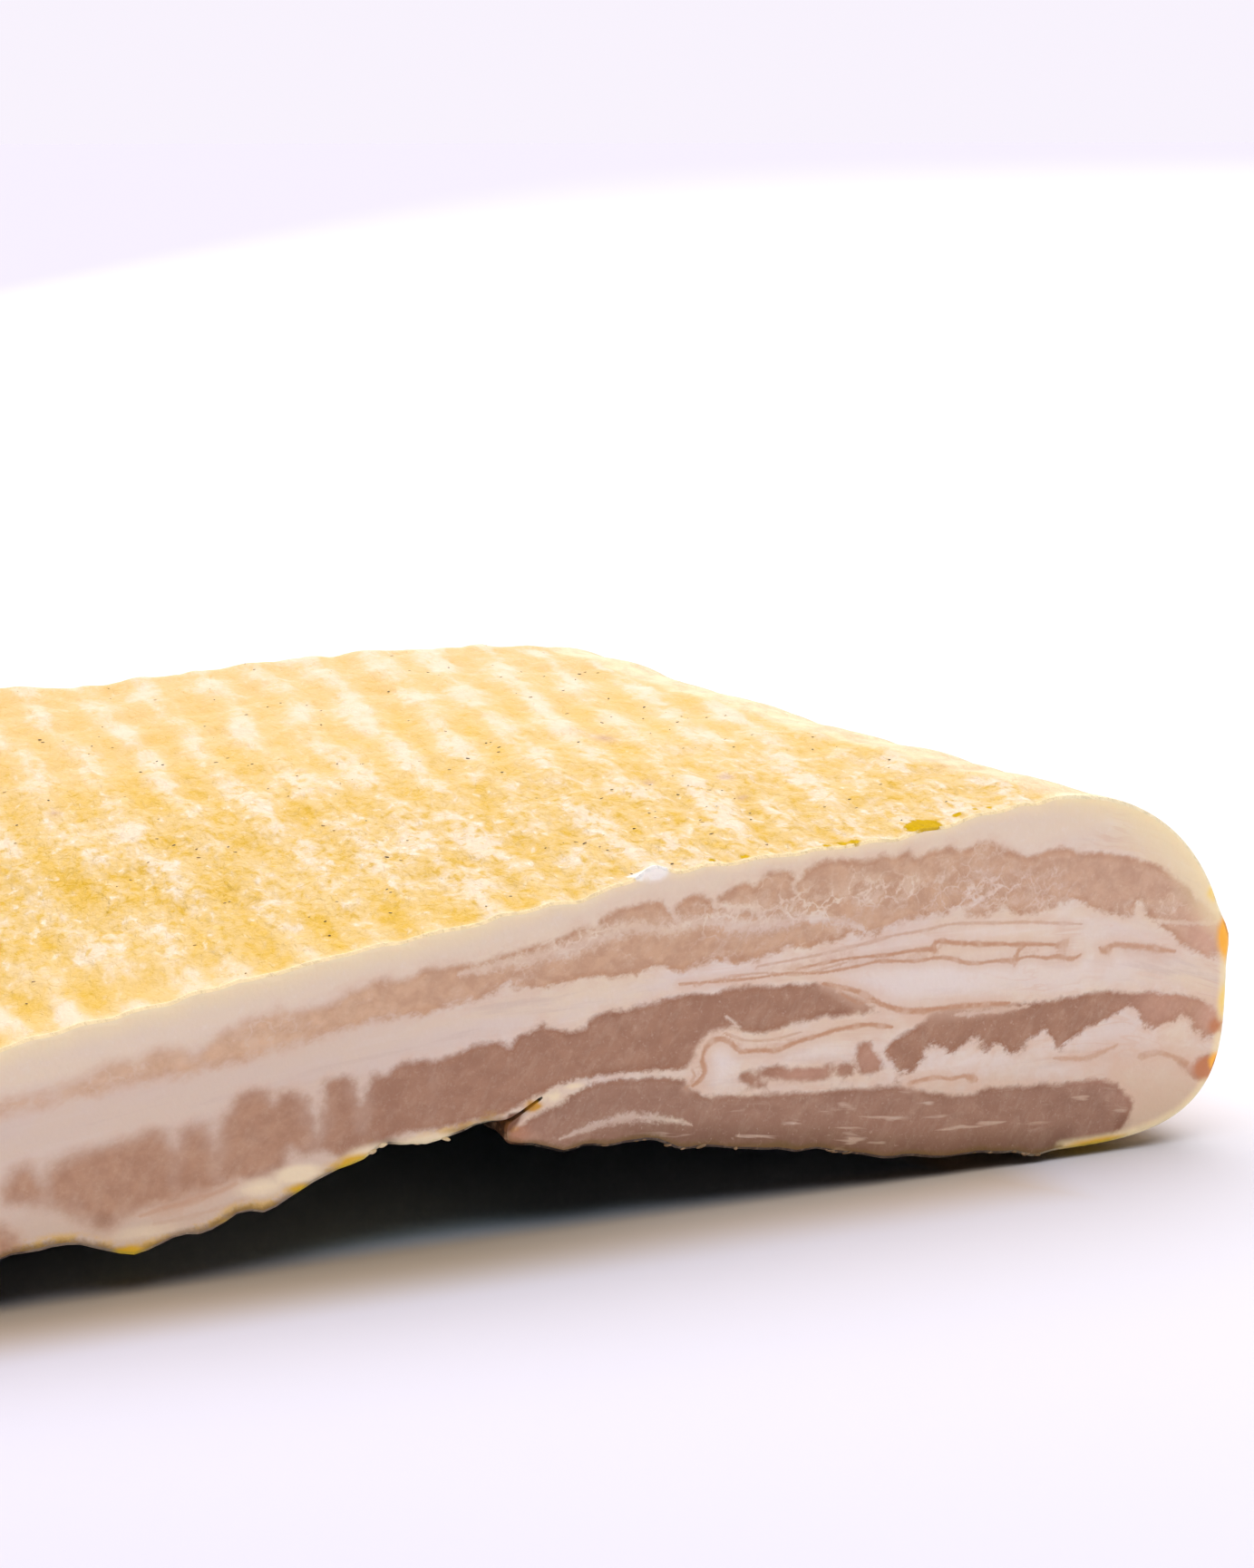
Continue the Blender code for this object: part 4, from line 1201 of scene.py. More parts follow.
@dataclass(frozen=True)
class SkinFinish(Finish):
    """The outside: dried golden rind on top with painted highlights and painted shade in its hollows, smoked
    ends, and the browned underside, darkened further as painted shade.
    """

    gold: Colour = (0.69, 0.468, 0.175)
    deep_gold: Colour = (0.66, 0.395, 0.045)
    cream: Colour = (0.745, 0.595, 0.42)
    distant: Colour = (0.705, 0.465, 0.20)
    # Painted shade for the rind's hollows and creases
    painted_hollow_shade: Colour = (0.60, 0.34, 0.0)
    # Painted highlight on the crests of the rind's bumps
    painted_glint: Colour = (0.82, 0.76, 0.66)
    # Pale yellow rim colour, brightened as painted light to offset the chamfer's own shade
    facet: Colour = (0.95, 0.755, 0.44)
    edge_pale: Colour = (0.78, 0.68, 0.50)
    olive: Colour = (0.56, 0.34, 0.0)
    bruise: Colour = (0.46, 0.25, 0.18)
    scrap: Colour = (0.86, 0.81, 0.75)
    smoked_fat: Colour = (0.84, 0.64, 0.39)
    smoked_lean: Colour = (0.56, 0.27, 0.15)
    # Underside colours: browned fat and lean, darkened further as painted shade under the slab
    under_fat_shaded: Colour = (0.26, 0.205, 0.155)
    under_lean_shaded: Colour = (0.095, 0.07, 0.058)
    nook_shade: Colour = (0.012, 0.009, 0.007)
    dusk: Colour = (0.80, 0.66, 0.56)
    orange: Colour = (1.0, 0.46, 0.04)
    amber: Colour = (0.80, 0.36, 0.02)
    russet: Colour = (0.60, 0.22, 0.06)
    yellow: Colour = (0.95, 0.68, 0.20)
    brown: Colour = (0.16, 0.06, 0.025)
    gold_spot: Colour = (0.62, 0.44, 0.03)
    pale_rim: Colour = (0.90, 0.78, 0.52)

    def rind(self, net: Net, crinkle: Sock, fine: Sock, rough: Sock) -> Sock:
        """Dried rind: stripes along the ridges, pale and golden patches, painted shade in the hollows and
        creases, and painted highlights as glints.

        Args:
            net: The material's nodes.
            crinkle: Coarse and fine wrinkles together.
            fine: Fine wrinkles alone.
            rough: How coarse the skin is, most in a belt across the slab.

        Returns:
            The rind's colour.
        """
        east, north = net.spot("X"), net.spot("Y")
        far = net.step(north, -35.0, 20.0)
        streaks = net.grain(net.flow((0.5, 0.07, 0.1)), 0.6, 3.0, 0.6, 0.4)
        patches = net.grain(net.place((1.0, 0.6, 0.5), (4.0, 1.0, 0.0)), 0.13, 2.5)
        clumps = net.grain(net.place((1.0, 0.42, 1.0), (9.0, 2.0, 0.0)), 0.38, 3.0, 0.6, 0.5)
        bumps = net.grain(net.place((1.0, 0.48, 1.0), (2.0, 5.0, 0.0)), 0.70, 3.0, 0.55, 0.3)
        creases = net.grain(net.place((0.5, 0.6, 0.5)), 0.8, 4.0, 0.62, 0.9)
        calm = net.step(north + 0.36 * east, -48.0, -62.0)
        pale = ((0.36 + 0.30 * far + 0.34 * calm) * (net.attribute("ridge") - 0.5) + (streaks - 0.5) * 0.7
                + (patches - 0.5) * (1.9 + 0.9 * calm)
                + (clumps - 0.5) * (1.5 - 0.9 * calm) * (1.0 - 0.6 * far)
                + (bumps - 0.5) * 2.0 * rough
                + 0.58 - 0.17 * net.step(east, 45.0, -45.0))
        cut_gap = net.attribute("cut_gap")
        olive = self.olive_share(net, fine)
        scrap = net.step(net.attribute("scrap") + (fine - 0.5) * 0.5, 0.30, 0.55)
        return net.paint(self.deep_gold, [
            (net.step(pale, -0.25, 0.60), self.gold),
            (net.step(north, -10.0, 60.0) * 0.7, self.distant),
            (net.step(pale, 0.42, 1.15), self.cream),
            # Painted shade in the hollows between bumps and in the creases
            (net.step(bumps, 0.44, 0.32) * 0.65 * rough, self.painted_hollow_shade),
            (net.step(creases, 0.44, 0.30) * 0.7 * rough, self.painted_hollow_shade),
            # Painted highlights: pale glints on the bumps' crests
            (net.step(bumps + (crinkle - 0.5) * 0.5, 0.60, 0.76) * 0.55 * rough, self.painted_glint),
            (net.step(cut_gap + (fine - 0.5) * 2.0, 2.0, 0.2) * 0.25, self.edge_pale),
            (olive, self.olive),
            # Pale yellow rim on the chamfer, partly its own colour and partly painted light that offsets the
            # chamfer's shade
            (net.step(cut_gap, 0.5, 0.2) * (0.95 - 0.9 * olive), self.facet),
            (scrap * net.step(net.attribute("edge"), 3.4, 1.8), self.scrap),
            (net.attribute("bruise") * (0.3 + 0.8 * fine), self.bruise),
        ])

    @staticmethod
    def olive_share(net: Net, fine: Sock) -> Sock:
        """How far a place belongs to a moist mustard spot."""
        return net.step(net.attribute("olive") + (fine - 0.5) * 0.9, 0.30, 0.62)

    def side(self, net: Net, folds: Sock, fine: Sock) -> Sock:
        """Smoked ends and the underside, with stains where they meet the front cut, and painted shade round the
        flap's nose.

        Args:
            net: The material's nodes.
            folds: Coarse wrinkles.
            fine: Fine wrinkles.

        Returns:
            The colour of the ends and the underside.
        """
        lean, edge = net.attribute("lean"), net.attribute("edge")
        patches = net.grain(net.place((0.7, 0.4, 0.5), (4.0, 1.0, 0.0)), 0.15, 4.0, 0.6)
        # The underside's browned fat and lean, darkened further as painted shade
        shaded_belly = net.colours(net.step(lean + (patches - 0.5) * 9.0, -0.6, 0.8), self.under_fat_shaded, self.under_lean_shaded)
        low = net.step(net.attribute("low") + (folds - 0.5) * 0.3, 0.3, 0.7)
        dusk = net.grain(net.place((1.0, 0.5, 1.0), (3.0, 3.0, 3.0)), 0.3, 4.0, 0.65)
        rim = net.step(edge + (fine - 0.5) * 1.5, 2.6, 0.5) * (1.0 - net.attribute("low"))
        east = net.spot("X")
        side = net.paint(self.smoked_fat, [
            (net.step(lean + (folds - 0.5) * 3.0, -0.8, 0.8) * 0.85, self.smoked_lean),
            (low, shaded_belly),
            # Painted shade: near black on the underside round the flap's nose and slit
            (low * net.step(east, 10.0, 15.0) * net.step(east, 34.0, 26.0) * 0.9, self.nook_shade),
            (net.step(dusk, 0.35, 0.75) * 0.8, self.dusk, "MULTIPLY"),
            (net.step(fine, 0.5, 0.7) * 0.20, self.cream),
            (rim * 0.85, self.pale_rim),
        ])
        stains = [(Tint.CREAM, self.pale_rim), (Tint.ORANGE, self.orange), (Tint.GOLD, self.gold_spot),
                  (Tint.RUSSET, self.russet), (Tint.YELLOW, self.yellow), (Tint.AMBER, self.amber),
                  (Tint.BROWN, self.brown)]
        return self.stained(net, side, stains, (fine - 0.5) * 0.4, net.step(edge, 9.0, 1.0) * 0.9)

    def dress(self, net: Net) -> dict[str, Sock]:
        """Rind above and smoked sides below, with fine wrinkles and pits.

        Args:
            net: The material's nodes.

        Returns:
            The shader's sockets by name, and the bump's Height.
        """
        folds = net.grain(net.place((1.0, 0.45, 1.0)), 0.38, 3.0, 0.55, 0.7)
        fine = net.grain(net.place((1.0, 0.6, 1.0), (3.0, 8.0, 0.0)), 1.0, 4.0, 0.62, 0.5)
        crinkle = folds * 0.5 + fine * 0.5
        top = net.step(net.attribute("top") + (folds - 0.5) * 0.25, 0.35, 0.65)
        belt = net.spot("Y") + 0.36 * net.spot("X")
        rough = 0.26 + 0.60 * net.step(belt, -74.0, -44.0) * net.step(belt, 34.0, -34.0)
        colour = net.colours(top, self.side(net, folds, fine), self.rind(net, crinkle, fine, rough))
        pits = net.step(net.cells(net.place((1.0, 0.8, 1.0)), 0.7, "F1"), 0.22, 0.05)
        relief = crinkle * (1.2 + 1.4 * rough) - pits * 0.1
        gloss = 0.48 + (fine - 0.5) * 0.4 + self.olive_share(net, fine) * 0.45
        return {"Base Color": colour, "Roughness": gloss, "Height": relief}


@dataclass(frozen=True)
class PlainFinish(Finish):
    """One colour that varies a little: dark specks and pale crumbs."""

    first: Colour = (0.5, 0.5, 0.5)
    second: Colour = (0.5, 0.5, 0.5)

    def dress(self, net: Net) -> dict[str, Sock]:
        """A mix of the two colours from place to place."""
        grain = net.grain(net.place(), 0.6, 2.0)
        colour = net.colours(net.step(grain, 0.4, 0.6), self.first, self.second)
        return {"Base Color": colour, "Roughness": 0.5 + grain * 0.2, "Height": grain}


@dataclass(frozen=True)
class Scatter:
    """Small lumps strewn over a carrier surface in patches, made by Geometry Nodes."""

    name: str
    density: float
    smallest: Triple
    largest: Triple
    patch_size: float
    seed: int

    INPUTS = ("Density", "Patch size", "Seed")
    LOWEST_TURN = (-0.3, -0.3, -0.6)
    HIGHEST_TURN = (0.3, 0.3, 0.6)

    def tree(self, material: bpy.types.Material) -> bpy.types.NodeTree:
        """The node tree that strews the lumps.

        Args:
            material: Finish of the lumps.

        Returns:
            The tree, with its inputs named in INPUTS.
        """
        tree = bpy.data.node_groups.new(self.name, "GeometryNodeTree")
        face = tree.interface
        face.new_socket("Geometry", in_out="INPUT", socket_type="NodeSocketGeometry")
        for name, kind in zip(self.INPUTS, ("NodeSocketFloat", "NodeSocketFloat", "NodeSocketInt")):
            face.new_socket(name, in_out="INPUT", socket_type=kind)
        face.new_socket("Geometry", in_out="OUTPUT", socket_type="NodeSocketGeometry")
        net = Net(tree)
        density, patch_size, seed = (net.add("NodeGroupInput", None, None, name) for name in self.INPUTS)
        carrier = net.add("NodeGroupInput", None, None, "Geometry")
        place = net.add("GeometryNodeInputPosition")
        patch = net.add("ShaderNodeTexNoise", None, {"Vector": place, "Scale": 1.0 / patch_size, "Detail": 2.0})
        thick = net.step(patch, 0.42, 0.68)
        points = net.add("GeometryNodeDistributePointsOnFaces", {"distribute_method": "RANDOM"},
                         {"Mesh": carrier, "Density": density * (0.15 + 0.85 * thick), "Seed": seed}, "Points")
        lump = net.add("GeometryNodeMeshIcoSphere", None, {"Radius": 0.5 * MM, "Subdivisions": 2}, "Mesh")
        size = net.add("FunctionNodeRandomValue", {"data_type": "FLOAT_VECTOR"},
                       {0: self.smallest, 1: self.largest, "Seed": seed}, 0)
        turn = net.add("FunctionNodeRandomValue", {"data_type": "FLOAT_VECTOR"},
                       {0: self.LOWEST_TURN, 1: self.HIGHEST_TURN, "Seed": seed + 1.0}, 0)
        strewn = net.add("GeometryNodeInstanceOnPoints", None,
                         {"Points": points, "Instance": lump, "Rotation": turn, "Scale": size})
        real = net.add("GeometryNodeRealizeInstances", None, {0: strewn})
        done = net.add("GeometryNodeSetMaterial", None, {"Geometry": real, "Material": material})
        net.add("NodeGroupOutput", None, {"Geometry": done})
        return tree

    def build(self, carrier: bpy.types.Mesh, material: bpy.types.Material) -> bpy.types.Object:
        """Strews the lumps over a carrier and keeps them as a plain mesh.

        Args:
            carrier: Surface that they lie on, which isn't kept.
            material: Finish of the lumps.

        Returns:
            The new object, linked to the scene.
        """
        piece = placed(self.name, carrier)
        tree = self.tree(material)
        modifier = piece.modifiers.new("strew", "NODES")
        modifier.node_group = tree
        values = dict(zip(self.INPUTS, (self.density / MM ** 2, self.patch_size * MM, self.seed)))
        for item in tree.interface.items_tree:
            if item.in_out == "INPUT" and item.name in values:
                modifier[item.identifier] = values[item.name]
        lumps = bpy.data.meshes.new_from_object(piece.evaluated_get(bpy.context.evaluated_depsgraph_get()))
        piece.modifiers.remove(modifier)
        piece.data = lumps
        bpy.data.meshes.remove(carrier)
        lumps.name = self.name
        lumps.shade_smooth()
        return piece


@dataclass(frozen=True)
class Slab:
    """The whole slab as one closed mesh, replacing the CAD node; rim_radii are in the order of Zone."""

    form: SlabForm
    fineness: Fineness
    pattern: CutPattern = field(default_factory=CutPattern)
    name: str = "slab"
    rows_behind_cut: tuple[float, ...] = (0.0, 0.25, 0.6, 1.0, 1.6, 2.3)
    next_row: float = 0.8
    rim_radii: tuple[float, ...] = (0.35, 0.5, 0.4, 1.2, 0.06)
    rim_blend: int = 9
    line_clearance: float = 0.45
    edge_clearance: float = 0.4
    columns: int = 160
    column_blend: int = 13
    wander_start: float = 60.0
    wander_along: float = 7.0
    wander_up: float = 2.4
    sharp_angle: float = 42.0
    layers_high: float = 34.0
    layers_floor: tuple[Pair, ...] = ((-116, -4.0), (-60, 0.0), (-30, 4.0), (0, 8.0), (22, 8.0), (50, 5.0),
                                      (80, 0.0), (116, -2.0))
    layers_roof: tuple[Pair, ...] = ((-116, 22.0), (-72, 26.4), (-39, 30.9), (2, 37.8), (40, 43.0),
                                     (70, 45.5), (92, 47.0), (104, 44.0), (116, 37.0))

    def rows(self) -> list[float]:
        """Places across the slab of the loft's rows, closer together behind each cut.

        Returns:
            The places in millimetres.
        """
        half = self.form.depth / 2
        near = self.rows_behind_cut
        start = near[-1] + self.next_row
        count = round((self.form.depth - 2 * start) / self.fineness.row_gap)
        middle = list(np.linspace(-half + start, half - start, count + 1))
        return [y - half for y in near] + middle + [half - y for y in reversed(near)]

    def inset(self, y: float, zone: Zone) -> float:
        """How far the rounding of a cut's rim draws the outline in.

        Args:
            y: Place across the slab.
            zone: Side of the slab.

        Returns:
            The distance in millimetres.
        """
        radius = self.rim_radii[zone.value]
        gap = min(y + self.form.depth / 2, self.form.depth / 2 - y)
        if gap >= radius:
            return 0.0
        return radius * (1.0 - math.sqrt(1.0 - (1.0 - gap / radius) ** 2))

    def ring(self, y: float) -> tuple[Array, list[Zone]]:
        """Outline of one row, with its rim's rounding.

        Args:
            y: The row's place across the slab.

        Returns:
            The (n, 2) outline and the side of each of its points.
        """
        outline, zones = self.form.section(y / self.form.depth + 0.5, self.fineness)
        heading = np.roll(outline, -1, axis=0) - np.roll(outline, 1, axis=0)
        heading /= np.maximum(np.hypot(*heading.T), 1e-9)[:, None]
        inward = np.stack([heading[:, 1], -heading[:, 0]], axis=1)
        depth = np.array([self.inset(y, zone) for zone in zones])
        side = self.rim_blend // 2
        kernel = np.ones(self.rim_blend) / self.rim_blend
        depth = np.convolve(np.concatenate([depth[-side:], depth, depth[:side]]), kernel, "valid")
        return outline + inward * depth[:, None], zones

    def cut_places(self, outline: Array, step: float, follow: bool) -> Array:
        """Points inside a cut: a loose grid, and on the front the lines' own points.

        Args:
            outline: The cut's outline.
            step: Gap between the grid's points.
            follow: Whether the lines have points of their own.

        Returns:
            The (n, 2) places.
        """
        low, high = outline.min(axis=0), outline.max(axis=0)
        x, z = np.meshgrid(np.arange(low[0], high[0], step), np.arange(low[1], high[1], step))
        x = x + 0.5 * step * (np.arange(len(x)) % 2)[:, None]
        grid = np.stack([x.ravel(), z.ravel()], axis=1)
        if follow:
            lines = self.pattern.followers(self.fineness.line_step)
            near, _, _ = segment_gap(grid, lines[:-1], lines[:-1])
            grid = np.vstack([grid[near > self.line_clearance * step], lines])
        gap, _, _ = segment_gap(grid, outline, np.roll(outline, -1, axis=0))
        return grid[within(grid, outline) & (gap > self.edge_clearance * step)]

    def to_front(self, places: Array, y: float, front: Array, here: Array) -> Array:
        """Places of another section moved to where they belong on the front cut.

        Args:
            places: (n, 2) places of the section at y.
            y: The section's place across the slab.
            front: Outline at the front cut.
            here: Outline at y.

        Returns:
            The (n, 2) places on the front cut, shifted a little so that the layers wander.
        """
        low, high = here.min(axis=0), here.max(axis=0)
        front_low, front_high = front.min(axis=0), front.max(axis=0)
        along = (places[:, 0] - low[0]) / (high[0] - low[0])
        x = front_low[0] + along * (front_high[0] - front_low[0])

        floor, roof = self.span(here, places[:, 0])
        front_floor, front_roof = self.span(front, x)
        up = (places[:, 1] - floor) / np.maximum(roof - floor, 1e-6)
        z = front_floor + up * (front_roof - front_floor)
        return self.wander(np.stack([x, z], axis=1), y)

    def span(self, outline: Array, at: Array) -> tuple[Array, Array]:
        """Lowest and highest place of an outline at places along X.

        Args:
            outline: The outline as (x, z).
            at: Places along X.

        Returns:
            The lowest and the highest places there.
        """
        count = self.columns
        columns = np.linspace(outline[:, 0].min(), outline[:, 0].max(), count)
        bins = np.clip(np.searchsorted(columns, outline[:, 0]), 0, count - 1)
        floor, roof = np.full(count, np.inf), np.full(count, -np.inf)
        np.minimum.at(floor, bins, outline[:, 1])
        np.maximum.at(roof, bins, outline[:, 1])
        good = np.isfinite(floor)
        soft = np.ones(self.column_blend) / self.column_blend
        edges = []
        for edge in (floor, roof):
            filled = np.interp(columns, columns[good], edge[good])
            smooth = np.convolve(np.pad(filled, self.column_blend // 2, mode="edge"), soft, "valid")
            edges.append(np.interp(at, columns, smooth))
        return edges[0], edges[1]

    def wander(self, places: Array, y: float) -> Array:
        """Places on the front cut shifted so that the layers change from front to back.

        Args:
            places: (n, 2) places.
            y: Place across the slab.

        Returns:
            The shifted places.
        """
        ease = self.form.behind_front(y, self.wander_start)
        moved = places.copy()
        for i, (x, z) in enumerate(places):
            moved[i, 0] += self.wander_along * ease * noise.noise(Vector((x / 30, y / 40, z / 9 + 5)))
            moved[i, 1] += self.wander_up * ease * noise.noise(Vector((x / 22, y / 35, 40 + z / 12)))
        return moved

    def skin(self, count: int, rows: int) -> list[tuple[int, ...]]:
        """Faces between neighbouring rows of count points each."""
        return [(a + i, a + (i + 1) % count, a + count + (i + 1) % count, a + count + i)
                for a in range(0, (rows - 1) * count, count) for i in range(count)]

    def cut(self, outline: Array, inner: Array, first: int, total: int, y: float) -> tuple[Array, list]:
        """Closes a cut with small triangles.

        Args:
            outline: The cut's outline.
            inner: Points wanted inside it.
            first: Index of the outline's first point in the mesh.
            total: Points that the mesh has so far.
            y: The cut's place across the slab.

        Returns:
            The points added, as (x, z), and the faces.
        """
        count = len(outline)
        flat = [Vector(point) for point in np.vstack([outline, inner])]
        spots, _, triangles, sources, _, _ = delaunay_2d_cdt(flat, [], [list(range(count))], 1, 1e-6)
        index, added = [], []
        for spot, source in zip(spots, sources):
            if source and source[0] < count:
                index.append(first + source[0])
            else:
                index.append(total + len(added))
                added.append(tuple(spot))
        faces = []
        for face in triangles:
            corner = [index[i] for i in face]
            faces.append(tuple(corner if y < 0 else corner[::-1]))
        return np.array(added), faces

    def build(self) -> bpy.types.Object:
        """The slab's mesh with its fields and finishes.

        Returns:
            The new object, linked to the scene.
        """
        rows = self.rows()
        rings = [self.ring(y) for y in rows]
        front, back = rings[0][0], rings[-1][0]
        count = len(front)
        places = [np.insert(outline, 1, y, axis=1) for y, (outline, _) in zip(rows, rings)]
        home = [self.wander(front, y) for y in rows]
        faces = self.skin(count, len(rows))
        skin_faces = len(faces)

        total = count * len(rows)
        for outline, first, y, step in ((front, 0, rows[0], self.fineness.front_grid),
                                        (back, total - count, rows[-1], self.fineness.back_grid)):
            inner = self.cut_places(outline, step, follow=y < 0)
            added, cut_faces = self.cut(outline, inner, first, total, y)
            faces += cut_faces
            places.append(np.insert(added, 1, y, axis=1))
            home.append(added if y < 0 else self.to_front(added, y, front, back))
            total += len(added)

        points = np.vstack(places)
        mesh = bpy.data.meshes.new(self.name)
        mesh.from_pydata((points * MM).tolist(), [], faces)
        material_of = np.zeros(len(faces), np.int32)
        material_of[skin_faces:] = 1
        mesh.polygons.foreach_set("material_index", material_of)
        self.add_fields(mesh, points, np.vstack(home), rings[0][1], (front, back))

        shape = bmesh.new()
        shape.from_mesh(mesh)
        bmesh.ops.recalc_face_normals(shape, faces=shape.faces)
        shape.to_mesh(mesh)
        shape.free()
        mesh.shade_smooth()
        mesh.set_sharp_from_angle(angle=math.radians(self.sharp_angle))
        for finish in (SkinFinish("golden_rind", specular=0.1, bump_depth=0.6),
                       CutFinish("fresh_cut", specular=0.35, bump_depth=0.12, subsurface=0.15)):
            mesh.materials.append(finish.material())
        return placed(self.name, mesh)

    def rim_gap(self, points: Array, skin: int, chosen: Array, outlines: tuple[Array, Array]) -> Array:
        """Distance in a cut from each of its points to one side of its outline, 0 away from the cuts.

        Args:
            points: The mesh's points.
            skin: How many of them the rows have.
            chosen: Which stretches of an outline the side has.
            outlines: Outlines of the front and the back cut.

        Returns:
            The distances in millimetres.
        """
        gap = np.zeros(len(points))
        count = len(chosen)
        for outline, side in zip(outlines, (-1, 1)):
            mask = np.zeros(len(points), bool)
            mask[skin:] = points[skin:, 1] * side > 0
            mask[:count] |= side < 0
            mask[skin - count:skin] |= side > 0
            starts, stops = outline[chosen], np.roll(outline, -1, axis=0)[chosen]
            gap[mask] = segment_gap(points[mask][:, [0, 2]], starts, stops)[0]
        return gap

    def softened(self, values: Array) -> Array:
        """Values round the outline, blended over the thick end's rounding."""
        width = 2 * self.fineness.thick_end // 3
        kernel = np.hanning(width + 2)[1:-1]
        padded = np.concatenate([values[-width:], values, values[:width]])
        return np.convolve(padded, kernel / kernel.sum(), "same")[width:-width]

    def add_fields(self, mesh: bpy.types.Mesh, points: Array, home: Array, zones: list[Zone],
                   outlines: tuple[Array, Array]) -> None:
        """Writes what the finishes read at each point.

        Args:
            mesh: The slab's mesh.
            points: Its points in millimetres.
            home: Where each point belongs on the front cut.
            zones: The side of each point of an outline.
            outlines: Outlines of the front and the back cut.
        """
        fields = self.pattern.fields(home)
        count = len(zones)
        skin = count * len(self.rows())
        half = self.form.depth / 2
        for zone in (Zone.RIND, Zone.THICK_END, Zone.UNDERSIDE):
            chosen = np.array([z is zone for z in zones])
            fields["rim_" + zone.name.lower()] = self.rim_gap(points, skin, chosen, outlines)

        top = np.array([z is Zone.RIND for z in zones], float)
        low = np.array([z in (Zone.UNDERSIDE, Zone.SLIT) for z in zones], float)
        position = np.arange(skin) % count
        for name in ("top", "low", "ridge"):
            fields[name] = np.zeros(len(points))
        fields["top"][:skin] = self.softened(top)[position]
        fields["low"][:skin] = self.softened(low)[position]
        for i in np.flatnonzero(top[position] > 0):
            fields["ridge"][i] = self.form.ridge(points[i, 0], points[i, 1])
        fields["edge"] = points[:, 1] + half
        fields["cut_gap"] = half - np.abs(points[:, 1])
        for name, spots in (("bruise", BRUISES), ("olive", OLIVE_SPOTS)):
            fields[name] = np.zeros(len(points))
            for x, y, radius in spots:
                away = (points[:, 0] - x) ** 2 + ((points[:, 1] - y) / SPOT_STRETCH) ** 2
                fields[name] += np.exp(-away / radius ** 2)
        for name, values in fields.items():
            layer = mesh.attributes.new(name, "FLOAT", "POINT")
            layer.data.foreach_set("value", values.astype(np.float32))

        floor, roof = (np.array([smooth_line(knots, x) for x in home[:, 0]])
                       for knots in (self.layers_floor, self.layers_roof))
        up = (home[:, 1] - floor) / (roof - floor)
        flow = np.stack([home[:, 0], points[:, 1], up * self.layers_high], axis=1)
        flow[:skin, 0] = self.form.fanned(points[:skin, 0], points[:skin, 1])
        layer = mesh.attributes.new("layers", "FLOAT_VECTOR", "POINT")
        layer.data.foreach_set("vector", flow.astype(np.float32).ravel())


